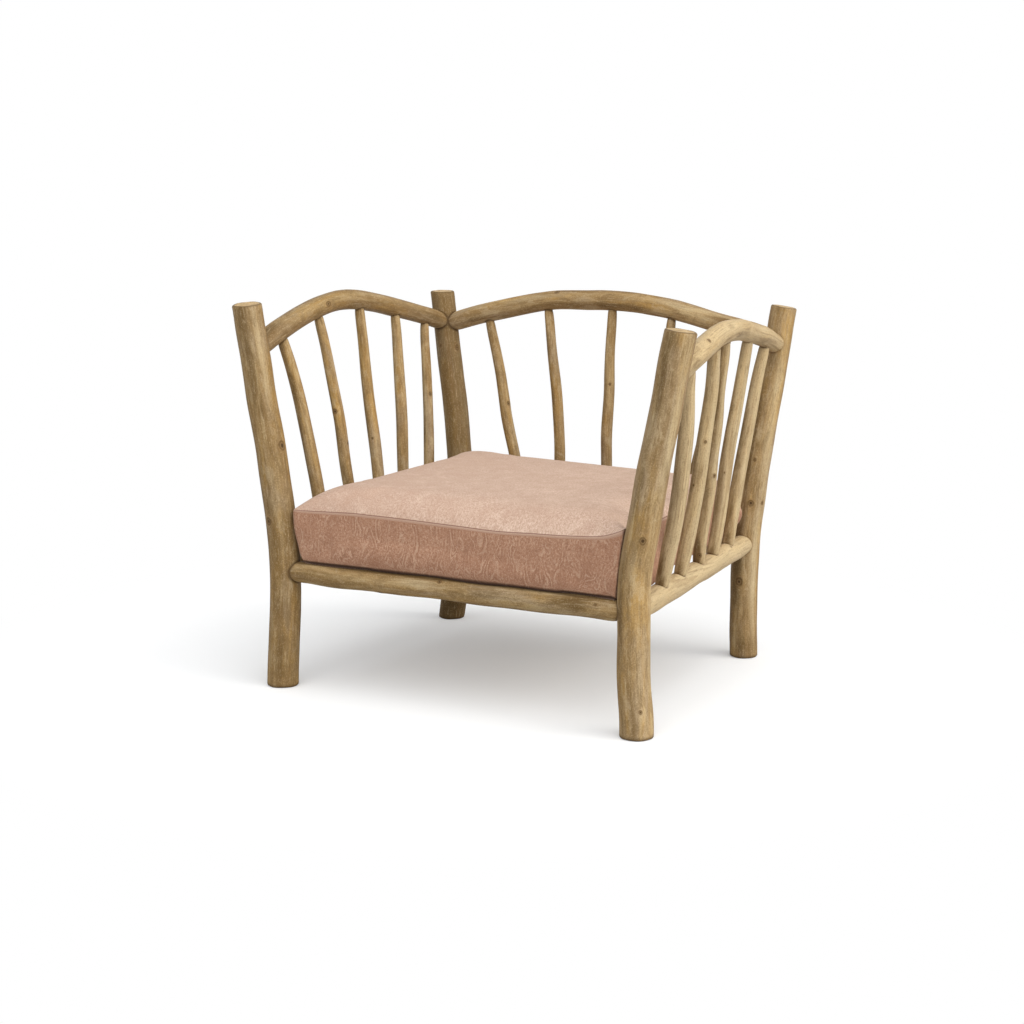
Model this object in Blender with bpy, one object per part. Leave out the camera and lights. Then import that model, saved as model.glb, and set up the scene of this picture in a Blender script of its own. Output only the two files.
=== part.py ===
"""Armchair of peeled branch wood with a loose boxed seat cushion.

Four bent posts carry four seat rails, two arched arm rails and an arched back rail. Every rail
and spindle is scribed to the round that it meets and held there by a hidden round tenon. Slats
on two cleats carry the cushion, which lifts out.

Metres, with +X to the right as seen from the front, +Y to the back and +Z up. The origin is on
the floor, under the middle of the chair.
"""

import math
from dataclasses import dataclass

import bmesh
import bpy
from mathutils import Vector

# Layout of the frame, between the posts' centres at the seat
SEAT_WIDTH_FRONT = 0.840
SEAT_WIDTH_BACK = 0.785
SEAT_DEPTH = 0.704
SEAT_RAIL_HEIGHT = 0.262
RIGHT_RAIL_FRONT_RISE = 0.002
RIGHT_RAIL_BACK_RISE = 0.009

# Posts: upright to the seat, then leaning outward and, at the back, rearward
FRONT_LEFT_POST_HEIGHT = 0.845
FRONT_RIGHT_POST_HEIGHT = 0.837
FRONT_POST_FLARE = 0.091
FRONT_POST_RAKE = 0.008
FRONT_POST_FOOT_RADIUS = 0.0350
FRONT_POST_TOP_RADIUS = 0.0325
BACK_POST_HEIGHT = 0.817
BACK_POST_FLARE = 0.056
BACK_POST_RAKE = 0.067
BACK_POST_FOOT_RADIUS = 0.0325
BACK_POST_TOP_RADIUS = 0.0295
# How the lean grows: share of the height above the seat, share of the lean
LEAN_STEPS = ((0.28, 0.17), (0.62, 0.56), (1.0, 1.0))
BACK_RIGHT_LEAN_STEPS = ((0.28, 0.245), (0.62, 0.58), (1.0, 1.0))
FRONT_LEFT_FOOT_KICK = 0.012
FRONT_RIGHT_FOOT_KICK = 0.010
BACK_LEFT_FOOT_KICK = 0.036
BACK_RIGHT_FOOT_KICK = 0.001
BACK_LEFT_SEAT_INSET = 0.030
BACK_LEFT_SEAT_SETBACK = 0.015
# Which way the saw cut on a post's top faces: how much it tips to the right and to the back
FRONT_LEFT_TOP_CUT = (-0.025, -0.103)
FRONT_RIGHT_TOP_CUT = (0.127, 0.040)
BACK_LEFT_TOP_CUT = (0.0, -0.012)
BACK_RIGHT_TOP_CUT = (0.140, 0.073)
POST_TOP_EASE = 0.003
POST_FOOT_EASE = 0.002

# Rails: radius at the first post and at the second
FRONT_RAIL_RADIUS = 0.0240
LEFT_RAIL_FRONT_RADIUS = 0.0240
LEFT_RAIL_BACK_RADIUS = 0.0220
RIGHT_RAIL_FRONT_RADIUS = 0.0255
RIGHT_RAIL_BACK_RADIUS = 0.0240
BACK_RAIL_RADIUS = 0.0225
ARM_FRONT_RADIUS = 0.0245
ARM_BACK_RADIUS = 0.0215
TOP_RAIL_RADIUS = 0.0235

# Heights of the arched rails' centres: at the first post, at the crest and at the second post
LEFT_ARM_FRONT_HEIGHT = 0.745
LEFT_ARM_CREST_HEIGHT = 0.827
LEFT_ARM_BACK_HEIGHT = 0.740
RIGHT_ARM_FRONT_HEIGHT = 0.743
RIGHT_ARM_CREST_HEIGHT = 0.803
RIGHT_ARM_BACK_HEIGHT = 0.731
TOP_RAIL_LEFT_HEIGHT = 0.737
TOP_RAIL_CREST_HEIGHT = 0.8135
TOP_RAIL_RIGHT_HEIGHT = 0.737
ARM_CREST_PLACE = 0.46
TOP_RAIL_CREST_PLACE = 0.50
LEFT_ARM_HAUNCHES = (0.70, 0.60)
RIGHT_ARM_HAUNCHES = (0.67, 0.60)
TOP_RAIL_HAUNCHES = (0.72, 0.67)

# Spindles: place of the foot and of the head along their rails, then shares of the bow and radius
SPINDLE_BOW = 0.010
SPINDLE_RADIUS = 0.0140
LEFT_SPINDLES = (
    (0.20, 0.13, 2.1, 1.07),
    (0.365, 0.32, 1.3, 0.96),
    (0.535, 0.535, -0.2, 1.0),
    (0.635, 0.72, 0.8, 1.0),
    (0.795, 0.88, 0.2, 0.91),
)
BACK_SPINDLES = (
    (0.23, 0.14, 0.3, 0.99),
    (0.355, 0.325, 1.2, 0.96),
    (0.52, 0.52, -0.4, 0.96),
    (0.65, 0.695, -0.5, 0.96),
    (0.77, 0.86, 0.4, 0.96),
)
RIGHT_SPINDLES = (
    (0.207, 0.128, 1.5, 1.21),
    (0.362, 0.331, 1.1, 1.14),
    (0.533, 0.42, 0.2, 1.07),
    (0.663, 0.661, -0.2, 1.07),
    (0.808, 0.859, -0.5, 1.07),
)
# How a spindle is whittled: share of its length, share of its radius
SPINDLE_PROFILE = ((0.0, 0.86), (0.25, 1.0), (0.6, 0.97), (1.0, 0.80))

# Joinery
CLEARANCE = 0.0003
RAIL_TENON_RADIUS = 0.0130
RAIL_TENON_WALL = 0.002
SPINDLE_TENON_RADIUS = 0.0080
SPINDLE_TENON_TIP = 0.003
TENON_ROOT = 0.012

# Seat deck
SLAT_COUNT = 7
SLAT_WIDTH = 0.062
SLAT_THICKNESS = 0.016
SLAT_ABOVE_RAILS = 0.0005
SLAT_END_GAP = 0.004
SLAT_SIDE_GAP = 0.020
SLAT_EASE = 0.002
CLEAT_WIDTH = 0.026
CLEAT_HEIGHT = 0.026
CLEAT_END_GAP = 0.012

# Cushion
CUSHION_BOXING = 0.120
CUSHION_CROWN = 0.046
CUSHION_CROWN_FULLNESS = 8
CUSHION_OVERHANG = 0.023
CUSHION_POST_GAP = 0.003
CUSHION_SPINDLE_GAP = 0.006
CUSHION_CORNER_RADIUS = 0.018
CUSHION_DRAW_IN = 0.006
CUSHION_BULGE = 0.002
CUSHION_UNDER_EDGE = 0.014
COVER_THICKNESS = 0.0025
ZIP_LENGTH = 0.460
ZIP_HEIGHT = 0.010
ZIP_DEPTH = 0.036

# Facets
POST_SIDES = 16
RAIL_SIDES = 14
SPINDLE_SIDES = 10
TENON_SIDES = 10
POST_RINGS = 13
SEAT_RAIL_RINGS = 5
ARCH_RINGS = 15
SPINDLE_RINGS = 7
CORNER_STEPS = 4
EDGE_STEPS = 6
BOXING_STEPS = 3
CROWN_SHARES = (0.97, 0.90, 0.78, 0.60, 0.36)
SMOOTH_ANGLE = math.radians(40)

# Finishes: colour, roughness
POST_FINISH = ((0.52, 0.37, 0.22, 1.0), 0.55)
RAIL_FINISH = ((0.56, 0.41, 0.25, 1.0), 0.55)
SPINDLE_FINISH = ((0.60, 0.45, 0.28, 1.0), 0.55)
DECK_FINISH = ((0.63, 0.50, 0.34, 1.0), 0.70)
COVER_FINISH = ((0.62, 0.38, 0.29, 1.0), 0.90)
FOAM_FINISH = ((0.85, 0.80, 0.62, 1.0), 0.95)
ZIP_FINISH = ((0.42, 0.24, 0.18, 1.0), 0.60)

# The chair's box, from the front posts' feet to the back posts' tops, is centred on the origin
REACH_BACK = SEAT_DEPTH / 2 + BACK_POST_RAKE + BACK_POST_TOP_RADIUS
REACH_FRONT = SEAT_DEPTH / 2 + FRONT_POST_FOOT_RADIUS
CENTRE_SHIFT = (REACH_BACK - REACH_FRONT) / 2
FRONT_Y = -SEAT_DEPTH / 2 - CENTRE_SHIFT
BACK_Y = SEAT_DEPTH / 2 - CENTRE_SHIFT
SLAT_TOP = SEAT_RAIL_HEIGHT + FRONT_RAIL_RADIUS + SLAT_ABOVE_RAILS
CUSHION_BOTTOM = SLAT_TOP + CLEARANCE


@dataclass
class Post:
    """A corner post: its place at the seat, its lean and its size."""

    side: int
    x: float
    y: float
    height: float
    foot_kick: float
    flare: float
    rake: float
    foot_radius: float
    top_radius: float
    top_cut: tuple
    lean_steps: tuple = LEAN_STEPS


POSTS = {
    "front_left_post": Post(
        -1, SEAT_WIDTH_FRONT / 2, FRONT_Y, FRONT_LEFT_POST_HEIGHT, FRONT_LEFT_FOOT_KICK,
        FRONT_POST_FLARE, FRONT_POST_RAKE, FRONT_POST_FOOT_RADIUS, FRONT_POST_TOP_RADIUS,
        FRONT_LEFT_TOP_CUT),
    "front_right_post": Post(
        1, SEAT_WIDTH_FRONT / 2, FRONT_Y, FRONT_RIGHT_POST_HEIGHT, FRONT_RIGHT_FOOT_KICK,
        FRONT_POST_FLARE, FRONT_POST_RAKE, FRONT_POST_FOOT_RADIUS, FRONT_POST_TOP_RADIUS,
        FRONT_RIGHT_TOP_CUT),
    "back_left_post": Post(
        -1, SEAT_WIDTH_BACK / 2 - BACK_LEFT_SEAT_INSET, BACK_Y + BACK_LEFT_SEAT_SETBACK,
        BACK_POST_HEIGHT, BACK_LEFT_FOOT_KICK, BACK_POST_FLARE + BACK_LEFT_SEAT_INSET,
        BACK_POST_RAKE - BACK_LEFT_SEAT_SETBACK, BACK_POST_FOOT_RADIUS, BACK_POST_TOP_RADIUS,
        BACK_LEFT_TOP_CUT),
    "back_right_post": Post(
        1, SEAT_WIDTH_BACK / 2, BACK_Y, BACK_POST_HEIGHT, BACK_RIGHT_FOOT_KICK,
        BACK_POST_FLARE, BACK_POST_RAKE, BACK_POST_FOOT_RADIUS, BACK_POST_TOP_RADIUS,
        BACK_RIGHT_TOP_CUT, BACK_RIGHT_LEAN_STEPS),
}


@dataclass
class Rail:
    """A rail from the first post to the second, with its height along the way and its radii."""

    first: str
    second: str
    heights: tuple
    first_radius: float
    second_radius: float
    rings: int


def arch(first_height, crest_height, second_height, crest_place, haunches):
    """Knots of an arch: ends, crest and, half-way to the crest, haunches as shares of the rise."""
    return ((0.0, first_height),
            (crest_place / 2, first_height + haunches[0] * (crest_height - first_height)),
            (crest_place, crest_height),
            ((1 + crest_place) / 2, second_height + haunches[1] * (crest_height - second_height)),
            (1.0, second_height))


LEVEL = ((0.0, SEAT_RAIL_HEIGHT), (1.0, SEAT_RAIL_HEIGHT))
RISING = ((0.0, SEAT_RAIL_HEIGHT + RIGHT_RAIL_FRONT_RISE), (1.0, SEAT_RAIL_HEIGHT + RIGHT_RAIL_BACK_RISE))
LEFT_ARCH = arch(LEFT_ARM_FRONT_HEIGHT, LEFT_ARM_CREST_HEIGHT, LEFT_ARM_BACK_HEIGHT,
                 ARM_CREST_PLACE, LEFT_ARM_HAUNCHES)
RIGHT_ARCH = arch(RIGHT_ARM_FRONT_HEIGHT, RIGHT_ARM_CREST_HEIGHT, RIGHT_ARM_BACK_HEIGHT,
                  ARM_CREST_PLACE, RIGHT_ARM_HAUNCHES)
BACK_ARCH = arch(TOP_RAIL_LEFT_HEIGHT, TOP_RAIL_CREST_HEIGHT, TOP_RAIL_RIGHT_HEIGHT,
                 TOP_RAIL_CREST_PLACE, TOP_RAIL_HAUNCHES)

RAILS = {
    "front_seat_rail": Rail("front_left_post", "front_right_post", LEVEL,
                            FRONT_RAIL_RADIUS, FRONT_RAIL_RADIUS, SEAT_RAIL_RINGS),
    "back_seat_rail": Rail("back_left_post", "back_right_post", LEVEL,
                           BACK_RAIL_RADIUS, BACK_RAIL_RADIUS, SEAT_RAIL_RINGS),
    "left_seat_rail": Rail("front_left_post", "back_left_post", LEVEL,
                           LEFT_RAIL_FRONT_RADIUS, LEFT_RAIL_BACK_RADIUS, SEAT_RAIL_RINGS),
    "right_seat_rail": Rail("front_right_post", "back_right_post", RISING,
                            RIGHT_RAIL_FRONT_RADIUS, RIGHT_RAIL_BACK_RADIUS, SEAT_RAIL_RINGS),
    "back_top_rail": Rail("back_left_post", "back_right_post", BACK_ARCH,
                          TOP_RAIL_RADIUS, TOP_RAIL_RADIUS, ARCH_RINGS),
    "left_arm_rail": Rail("front_left_post", "back_left_post", LEFT_ARCH,
                          ARM_FRONT_RADIUS, ARM_BACK_RADIUS, ARCH_RINGS),
    "right_arm_rail": Rail("front_right_post", "back_right_post", RIGHT_ARCH,
                           ARM_FRONT_RADIUS, ARM_BACK_RADIUS, ARCH_RINGS),
}

SPINDLE_ROWS = (
    ("left_spindle", "left_seat_rail", "left_arm_rail", LEFT_SPINDLES),
    ("back_spindle", "back_seat_rail", "back_top_rail", BACK_SPINDLES),
    ("right_spindle", "right_seat_rail", "right_arm_rail", RIGHT_SPINDLES),
)


# Curves


def through(knots, place):
    """Value at a place on a smooth curve through (place, value) knots, straight past its ends."""
    last = len(knots) - 1
    slopes = []
    for i in range(last + 1):
        before = knots[max(i - 1, 0)]
        after = knots[min(i + 1, last)]
        slopes.append((after[1] - before[1]) / (after[0] - before[0]))
    if place <= knots[0][0]:
        return knots[0][1] + slopes[0] * (place - knots[0][0])
    if place >= knots[last][0]:
        return knots[last][1] + slopes[last] * (place - knots[last][0])
    i = max(k for k in range(last) if knots[k][0] <= place)
    span = knots[i + 1][0] - knots[i][0]
    t = (place - knots[i][0]) / span
    return ((2 * t ** 3 - 3 * t ** 2 + 1) * knots[i][1]
            + (t ** 3 - 2 * t ** 2 + t) * span * slopes[i]
            + (3 * t ** 2 - 2 * t ** 3) * knots[i + 1][1]
            + (t ** 3 - t ** 2) * span * slopes[i + 1])


def lean_knots(post, foot, lean):
    """Knots of a post's offset over its height: kicked at the foot, plumb at the seat, then leaning."""
    above = post.height - SEAT_RAIL_HEIGHT
    knots = [(0.0, foot), (SEAT_RAIL_HEIGHT, 0.0)]
    knots += [(SEAT_RAIL_HEIGHT + above * rise, lean * share) for rise, share in post.lean_steps]
    return knots


def post_axis(post, height):
    """Point on a post's centreline."""
    outward = through(lean_knots(post, post.foot_kick, post.flare), height)
    rearward = through(lean_knots(post, 0.0, post.rake), height)
    return Vector((post.side * (post.x + outward), post.y + rearward, height))


def post_radius(post, height):
    """Radius of a post, tapering evenly to its top."""
    return post.foot_radius + (post.top_radius - post.foot_radius) * height / post.height


def rail_axis(rail, share):
    """Point on a rail's centreline, in the leaning surface between its two posts."""
    height = through(rail.heights, share)
    return post_axis(POSTS[rail.first], height).lerp(post_axis(POSTS[rail.second], height), share)


def rail_radius(rail, share):
    """Radius of a rail, tapering evenly."""
    return rail.first_radius + (rail.second_radius - rail.first_radius) * share


def rail_direction(rail, share, step=0.01):
    """Unit direction of a rail's centreline."""
    return (rail_axis(rail, share + step) - rail_axis(rail, share - step)).normalized()


# Solids


def mesh_object(name, build):
    """New object from a function that fills a bmesh."""
    body = bmesh.new()
    build(body)
    bmesh.ops.recalc_face_normals(body, faces=body.faces)
    mesh = bpy.data.meshes.new(name)
    body.to_mesh(mesh)
    body.free()
    obj = bpy.data.objects.new(name, mesh)
    bpy.context.scene.collection.objects.link(obj)
    return obj


def skin_rings(body, rings):
    """Close a stack of equal rings of points into one capped skin."""
    rows = [[body.verts.new(point) for point in ring] for ring in rings]
    for low, high in zip(rows, rows[1:]):
        for i in range(len(low)):
            j = (i + 1) % len(low)
            body.faces.new((low[i], low[j], high[j], high[i]))
    body.faces.new(list(reversed(rows[0])))
    body.faces.new(rows[-1])


def ring_of_points(centre, normal, radius, sides, reference):
    """Points of a regular polygon round a centre, its first corner towards the reference."""
    across = (reference - normal * reference.dot(normal)).normalized()
    along = normal.cross(across)
    turns = [2 * math.pi * i / sides for i in range(sides)]
    return [centre + (across * math.cos(a) + along * math.sin(a)) * radius for a in turns]


def tangents(points):
    """Unit direction of a polyline at each of its points."""
    last = len(points) - 1
    return [(points[min(i + 1, last)] - points[max(i - 1, 0)]).normalized() for i in range(last + 1)]


def post_rings(post, grow=0.0):
    """Rings of a post with a level foot, a sawn top and eased edges at both."""
    top = post.height
    heights = [0.0, POST_FOOT_EASE]
    heights += [top * i / (POST_RINGS - 1) for i in range(1, POST_RINGS - 1)]
    heights += [top - POST_TOP_EASE, top]
    points = [post_axis(post, height) for height in heights]
    normals = tangents(points)
    normals[0] = normals[1] = Vector((0, 0, 1))
    normals[-2] = normals[-1] = Vector((*post.top_cut, 1)).normalized()
    radii = [post_radius(post, height) + grow for height in heights]
    radii[0] -= POST_FOOT_EASE
    radii[-1] -= POST_TOP_EASE
    return [ring_of_points(p, n, r, POST_SIDES, Vector((1, 0, 0)))
            for p, n, r in zip(points, normals, radii)]


def rail_rings(rail, grow=0.0):
    """Rings of a rail from one post's centreline to the other's."""
    shares = [i / (rail.rings - 1) for i in range(rail.rings)]
    points = [rail_axis(rail, share) for share in shares]
    radii = [rail_radius(rail, share) + grow for share in shares]
    return [ring_of_points(p, n, r, RAIL_SIDES, Vector((0, 0, 1)))
            for p, n, r in zip(points, tangents(points), radii)]


def spindle_points(low_rail, high_rail, foot_share, head_share, bow):
    """Centreline of a spindle between two rails, bowed to the right or, below zero, to the left."""
    foot = rail_axis(RAILS[low_rail], foot_share)
    head = rail_axis(RAILS[high_rail], head_share)
    shares = [i / (SPINDLE_RINGS - 1) for i in range(SPINDLE_RINGS)]
    out = [SPINDLE_BOW * bow * math.sin(math.pi * t) for t in shares]
    return [foot.lerp(head, t) + Vector((x, 0, 0)) for t, x in zip(shares, out)]


def spindle_rings(points, stoutness):
    """Rings of a spindle, tapering upward and whittled thinner at both ends."""
    rings = []
    for i, (point, normal) in enumerate(zip(points, tangents(points))):
        radius = SPINDLE_RADIUS * stoutness * through(SPINDLE_PROFILE, i / (len(points) - 1))
        rings.append(ring_of_points(point, normal, radius, SPINDLE_SIDES, Vector((1, 0, 0))))
    return rings


def peg_rings(start, end, radius, reference):
    """Rings of a straight round peg."""
    normal = (end - start).normalized()
    return [ring_of_points(point, normal, radius, TENON_SIDES, reference) for point in (start, end)]


def carve(obj, tools, operation):
    """Apply one Boolean with several closed tools, each given as a stack of rings."""
    def build(body):
        for rings in tools:
            skin_rings(body, rings)
    carve_with(obj, mesh_object("tool", build), operation)


def carve_with(obj, tool, operation):
    """Apply one Boolean with a tool object and remove the tool."""
    modifier = obj.modifiers.new(operation.lower(), "BOOLEAN")
    modifier.operation = operation
    modifier.solver = "EXACT"
    modifier.object = tool
    depsgraph = bpy.context.evaluated_depsgraph_get()
    result = bpy.data.meshes.new_from_object(obj.evaluated_get(depsgraph))
    obj.modifiers.clear()
    plain = obj.data
    obj.data = result
    bpy.data.meshes.remove(plain)
    tool_mesh = tool.data
    bpy.data.objects.remove(tool)
    bpy.data.meshes.remove(tool_mesh)
    result.name = obj.name


def finish(obj, look, origin, parent):
    """Give an object its material, smooth shading, own origin and parent."""
    colour, roughness = look
    material = bpy.data.materials.new(obj.name + "_finish")
    material.use_nodes = True
    shader = material.node_tree.nodes["Principled BSDF"]
    shader.inputs["Base Color"].default_value = colour
    shader.inputs["Roughness"].default_value = roughness
    shader.inputs["Metallic"].default_value = 0.0
    obj.data.materials.clear()
    obj.data.materials.append(material)
    obj.data.shade_smooth()
    obj.data.set_sharp_from_angle(angle=SMOOTH_ANGLE)
    for vertex in obj.data.vertices:
        vertex.co -= origin
    obj.parent = parent
    obj.location = origin - parent.location


def empty(name, place, parent=None):
    """A plain-axes empty that carries pieces."""
    obj = bpy.data.objects.new(name, None)
    obj.location = place
    obj.parent = parent
    bpy.context.scene.collection.objects.link(obj)
    return obj


# Joints


def rail_tenon(rail, share, post, grow):
    """Tenon of a rail that stops short of the post's centre or, with growth, its mortise."""
    inward = -1 if share == 0.0 else 1
    direction = rail_direction(rail, share) * inward
    centre = rail_axis(rail, share)
    surface = post_radius(post, centre.z)
    tip = RAIL_TENON_RADIUS + RAIL_TENON_WALL - grow
    return peg_rings(centre - direction * (surface + TENON_ROOT), centre - direction * tip,
                     RAIL_TENON_RADIUS + grow, Vector((0, 0, 1)))


def spindle_tenon(points, radius_at, at_foot, grow):
    """Tenon of a spindle in a rail, or with growth its mortise."""
    end, inner = (points[0], points[1]) if at_foot else (points[-1], points[-2])
    direction = (end - inner).normalized()
    root = end - direction * (radius_at + TENON_ROOT)
    tip = end - direction * (SPINDLE_TENON_TIP - grow)
    return peg_rings(root, tip, SPINDLE_TENON_RADIUS + grow, Vector((1, 0, 0)))


def rail_ends(rail):
    """Share and post at each end of a rail."""
    return ((0.0, POSTS[rail.first]), (1.0, POSTS[rail.second]))


def meets(rail, other):
    """Whether two rails come together at a post that they share."""
    for share, post in rail_ends(rail):
        for other_share, other_post in rail_ends(other):
            apart = abs(rail_axis(rail, share).z - rail_axis(other, other_share).z)
            if post is other_post and apart < rail_radius(rail, share) + rail_radius(other, other_share):
                return True
    return False


def spindles_of(rail_name):
    """Centreline, end and rail radius of each spindle that stands in a rail."""
    found = []
    for _, low, high, row in SPINDLE_ROWS:
        for foot_share, head_share, bow, _ in row:
            points = spindle_points(low, high, foot_share, head_share, bow)
            if rail_name == low:
                found.append((points, rail_radius(RAILS[low], foot_share), True))
            if rail_name == high:
                found.append((points, rail_radius(RAILS[high], head_share), False))
    return found


# Pieces


def make_posts(parent):
    """The four posts, mortised for every rail that meets them."""
    for name, post in POSTS.items():
        obj = mesh_object(name, lambda body: skin_rings(body, post_rings(post)))
        mortises = [rail_tenon(rail, share, post, CLEARANCE)
                    for rail in RAILS.values() for share, end in rail_ends(rail) if end is post]
        carve(obj, mortises, "DIFFERENCE")
        finish(obj, POST_FINISH, post_axis(post, 0.0), parent)


def make_rails(parent):
    """The seven rails, scribed to their posts and to the rails already there, tenoned, and mortised."""
    placed = []
    for name, rail in RAILS.items():
        obj = mesh_object(name, lambda body: skin_rings(body, rail_rings(rail)))
        carve(obj, [post_rings(post, CLEARANCE) for _, post in rail_ends(rail)], "DIFFERENCE")
        beside = [rail_rings(other, CLEARANCE) for other in placed if meets(rail, other)]
        if beside:
            carve(obj, beside, "DIFFERENCE")
        placed.append(rail)
        carve(obj, [rail_tenon(rail, share, post, 0.0) for share, post in rail_ends(rail)], "UNION")
        sockets = [spindle_tenon(points, radius, at_foot, CLEARANCE)
                   for points, radius, at_foot in spindles_of(name)]
        if sockets:
            carve(obj, sockets, "DIFFERENCE")
        finish(obj, RAIL_FINISH, rail_axis(rail, 0.5), parent)


def make_spindles(parent):
    """The three rows of spindles, scribed to the rails and tenoned into them."""
    for row_name, low, high, row in SPINDLE_ROWS:
        for number, (foot_share, head_share, bow, stoutness) in enumerate(row, start=1):
            points = spindle_points(low, high, foot_share, head_share, bow)
            rings = spindle_rings(points, stoutness)
            obj = mesh_object(f"{row_name}_{number}", lambda body: skin_rings(body, rings))
            carve(obj, [rail_rings(RAILS[name], CLEARANCE) for name in (low, high)], "DIFFERENCE")
            foot = spindle_tenon(points, rail_radius(RAILS[low], foot_share), True, 0.0)
            head = spindle_tenon(points, rail_radius(RAILS[high], head_share), False, 0.0)
            carve(obj, [foot, head], "UNION")
            finish(obj, SPINDLE_FINISH, points[0], parent)


def board(name, low, high, ease=0.0):
    """A board between two corners, with its long edges eased."""
    def build(body):
        bmesh.ops.create_cube(body, size=1.0)
        for vertex in body.verts:
            for axis in range(3):
                vertex.co[axis] = low[axis] + (vertex.co[axis] + 0.5) * (high[axis] - low[axis])
        if ease:
            bmesh.ops.bevel(body, geom=body.edges[:], offset=ease, segments=1, affect="EDGES")
    return mesh_object(name, build)


def make_deck(parent):
    """Two cleats scribed to the front and back seat rails, and the slats that lie on them."""
    slat_low = SLAT_TOP - SLAT_THICKNESS
    cleat_top = slat_low - CLEARANCE
    half = POSTS["back_left_post"].x - max(LEFT_RAIL_FRONT_RADIUS, RIGHT_RAIL_FRONT_RADIUS)
    for name, rail, inward in (("front_cleat", RAILS["front_seat_rail"], 1),
                               ("back_cleat", RAILS["back_seat_rail"], -1)):
        axis_y = rail_axis(rail, 0.5).y
        inner_y = axis_y + inward * (rail.first_radius + CLEAT_WIDTH)
        low = Vector((-half + CLEAT_END_GAP, min(axis_y, inner_y), cleat_top - CLEAT_HEIGHT))
        high = Vector((half - CLEAT_END_GAP, max(axis_y, inner_y), cleat_top))
        obj = board(name, low, high)
        carve(obj, [rail_rings(rail, CLEARANCE)], "DIFFERENCE")
        finish(obj, DECK_FINISH, (low + high) / 2, parent)
    first = -half + SLAT_SIDE_GAP + SLAT_WIDTH / 2
    pitch = -2 * first / (SLAT_COUNT - 1)
    front = FRONT_Y + FRONT_RAIL_RADIUS + SLAT_END_GAP
    back = BACK_Y - BACK_RAIL_RADIUS - SLAT_END_GAP
    for i in range(SLAT_COUNT):
        middle = first + pitch * i
        low = Vector((middle - SLAT_WIDTH / 2, front, slat_low))
        high = Vector((middle + SLAT_WIDTH / 2, back, SLAT_TOP))
        obj = board(f"seat_slat_{i + 1}", low, high, SLAT_EASE)
        finish(obj, DECK_FINISH, (low + high) / 2, parent)


def stoutest(row):
    """Largest radius in a row of spindles."""
    return SPINDLE_RADIUS * max(stoutness for _, _, _, stoutness in row)


def cushion_outline(inset):
    """Plan of the cushion, cut to fit the frame, with its sides drawn in between the corners."""
    front_half = SEAT_WIDTH_FRONT / 2 - FRONT_POST_FOOT_RADIUS - CUSHION_POST_GAP - inset
    left_back = POSTS["back_left_post"].x - stoutest(LEFT_SPINDLES) - CUSHION_SPINDLE_GAP - inset
    right_back = POSTS["back_right_post"].x - stoutest(RIGHT_SPINDLES) - CUSHION_SPINDLE_GAP - inset
    front = FRONT_Y - CUSHION_OVERHANG + inset
    back = BACK_Y - stoutest(BACK_SPINDLES) - CUSHION_SPINDLE_GAP - inset
    radius = CUSHION_CORNER_RADIUS - inset
    corners = ((front_half, front, -90), (right_back, back, 0),
               (-left_back, back, 90), (-front_half, front, 180))
    plain = []
    for x, y, turn in corners:
        middle = Vector((x - math.copysign(radius, x), y + (radius if y == front else -radius)))
        for k in range(CORNER_STEPS + 1):
            angle = math.radians(turn + 90 * k / CORNER_STEPS)
            plain.append(middle + Vector((math.cos(angle), math.sin(angle))) * radius)
    outline = []
    for i, point in enumerate(plain):
        outline.append(point)
        if i % (CORNER_STEPS + 1) == CORNER_STEPS:
            after = plain[(i + 1) % len(plain)]
            inward = Vector((point.y - after.y, after.x - point.x)).normalized()
            for k in range(1, EDGE_STEPS):
                t = k / EDGE_STEPS
                outline.append(point.lerp(after, t) + inward * CUSHION_DRAW_IN * math.sin(math.pi * t))
    return outline


def cushion_rings(inset):
    """Rings of the cushion from its flat underside, up the boxing and in over the crown."""
    outline = cushion_outline(inset)
    middle = sum(outline, Vector((0, 0))) / len(outline)
    reach = min((point - middle).length for point in outline)
    low = CUSHION_BOTTOM + inset
    seam = CUSHION_BOTTOM + CUSHION_BOXING - inset
    under = low + CUSHION_UNDER_EDGE
    levels = [(low, -CUSHION_UNDER_EDGE), (low + CUSHION_UNDER_EDGE / 3, -CUSHION_UNDER_EDGE / 3)]
    for step in range(BOXING_STEPS + 1):
        rise = step / BOXING_STEPS
        levels.append((under + (seam - under) * rise, CUSHION_BULGE * math.sin(math.pi * rise)))
    for share in CROWN_SHARES:
        levels.append((seam + CUSHION_CROWN * (1 - share ** CUSHION_CROWN_FULLNESS), (share - 1) * reach))
    rings = []
    for height, out in levels:
        scale = 1 + out / reach
        rings.append([Vector((*(middle + (point - middle) * scale), height)) for point in outline])
    return rings


def make_cushion(parent):
    """The cover as a shell with a slit at the back, its closing strip and the foam inside."""
    anchor = parent.location.copy()
    cover = mesh_object("cushion_cover", lambda body: skin_rings(body, cushion_rings(0.0)))
    carve(cover, [cushion_rings(COVER_THICKNESS)], "DIFFERENCE")
    back = max(point.y for point in cushion_outline(0.0))
    level = CUSHION_BOTTOM + CUSHION_BOXING / 2
    reach = Vector((ZIP_LENGTH / 2, ZIP_DEPTH, ZIP_HEIGHT / 2))
    centre = Vector((0, back, level))
    strip = cover.copy()
    strip.data = cover.data.copy()
    strip.name = "cushion_zip"
    bpy.context.scene.collection.objects.link(strip)
    slit = board("slit", centre - reach, centre + reach)
    carve_with(cover, slit, "DIFFERENCE")
    inside = reach - Vector((CLEARANCE, 0, CLEARANCE))
    core = board("strip", centre - inside, centre + inside)
    carve_with(strip, core, "INTERSECT")
    core_rings = cushion_rings(COVER_THICKNESS + CLEARANCE)
    foam = mesh_object("cushion_foam", lambda body: skin_rings(body, core_rings))
    finish(cover, COVER_FINISH, anchor, parent)
    finish(strip, ZIP_FINISH, anchor, parent)
    finish(foam, FOAM_FINISH, anchor, parent)


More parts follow.
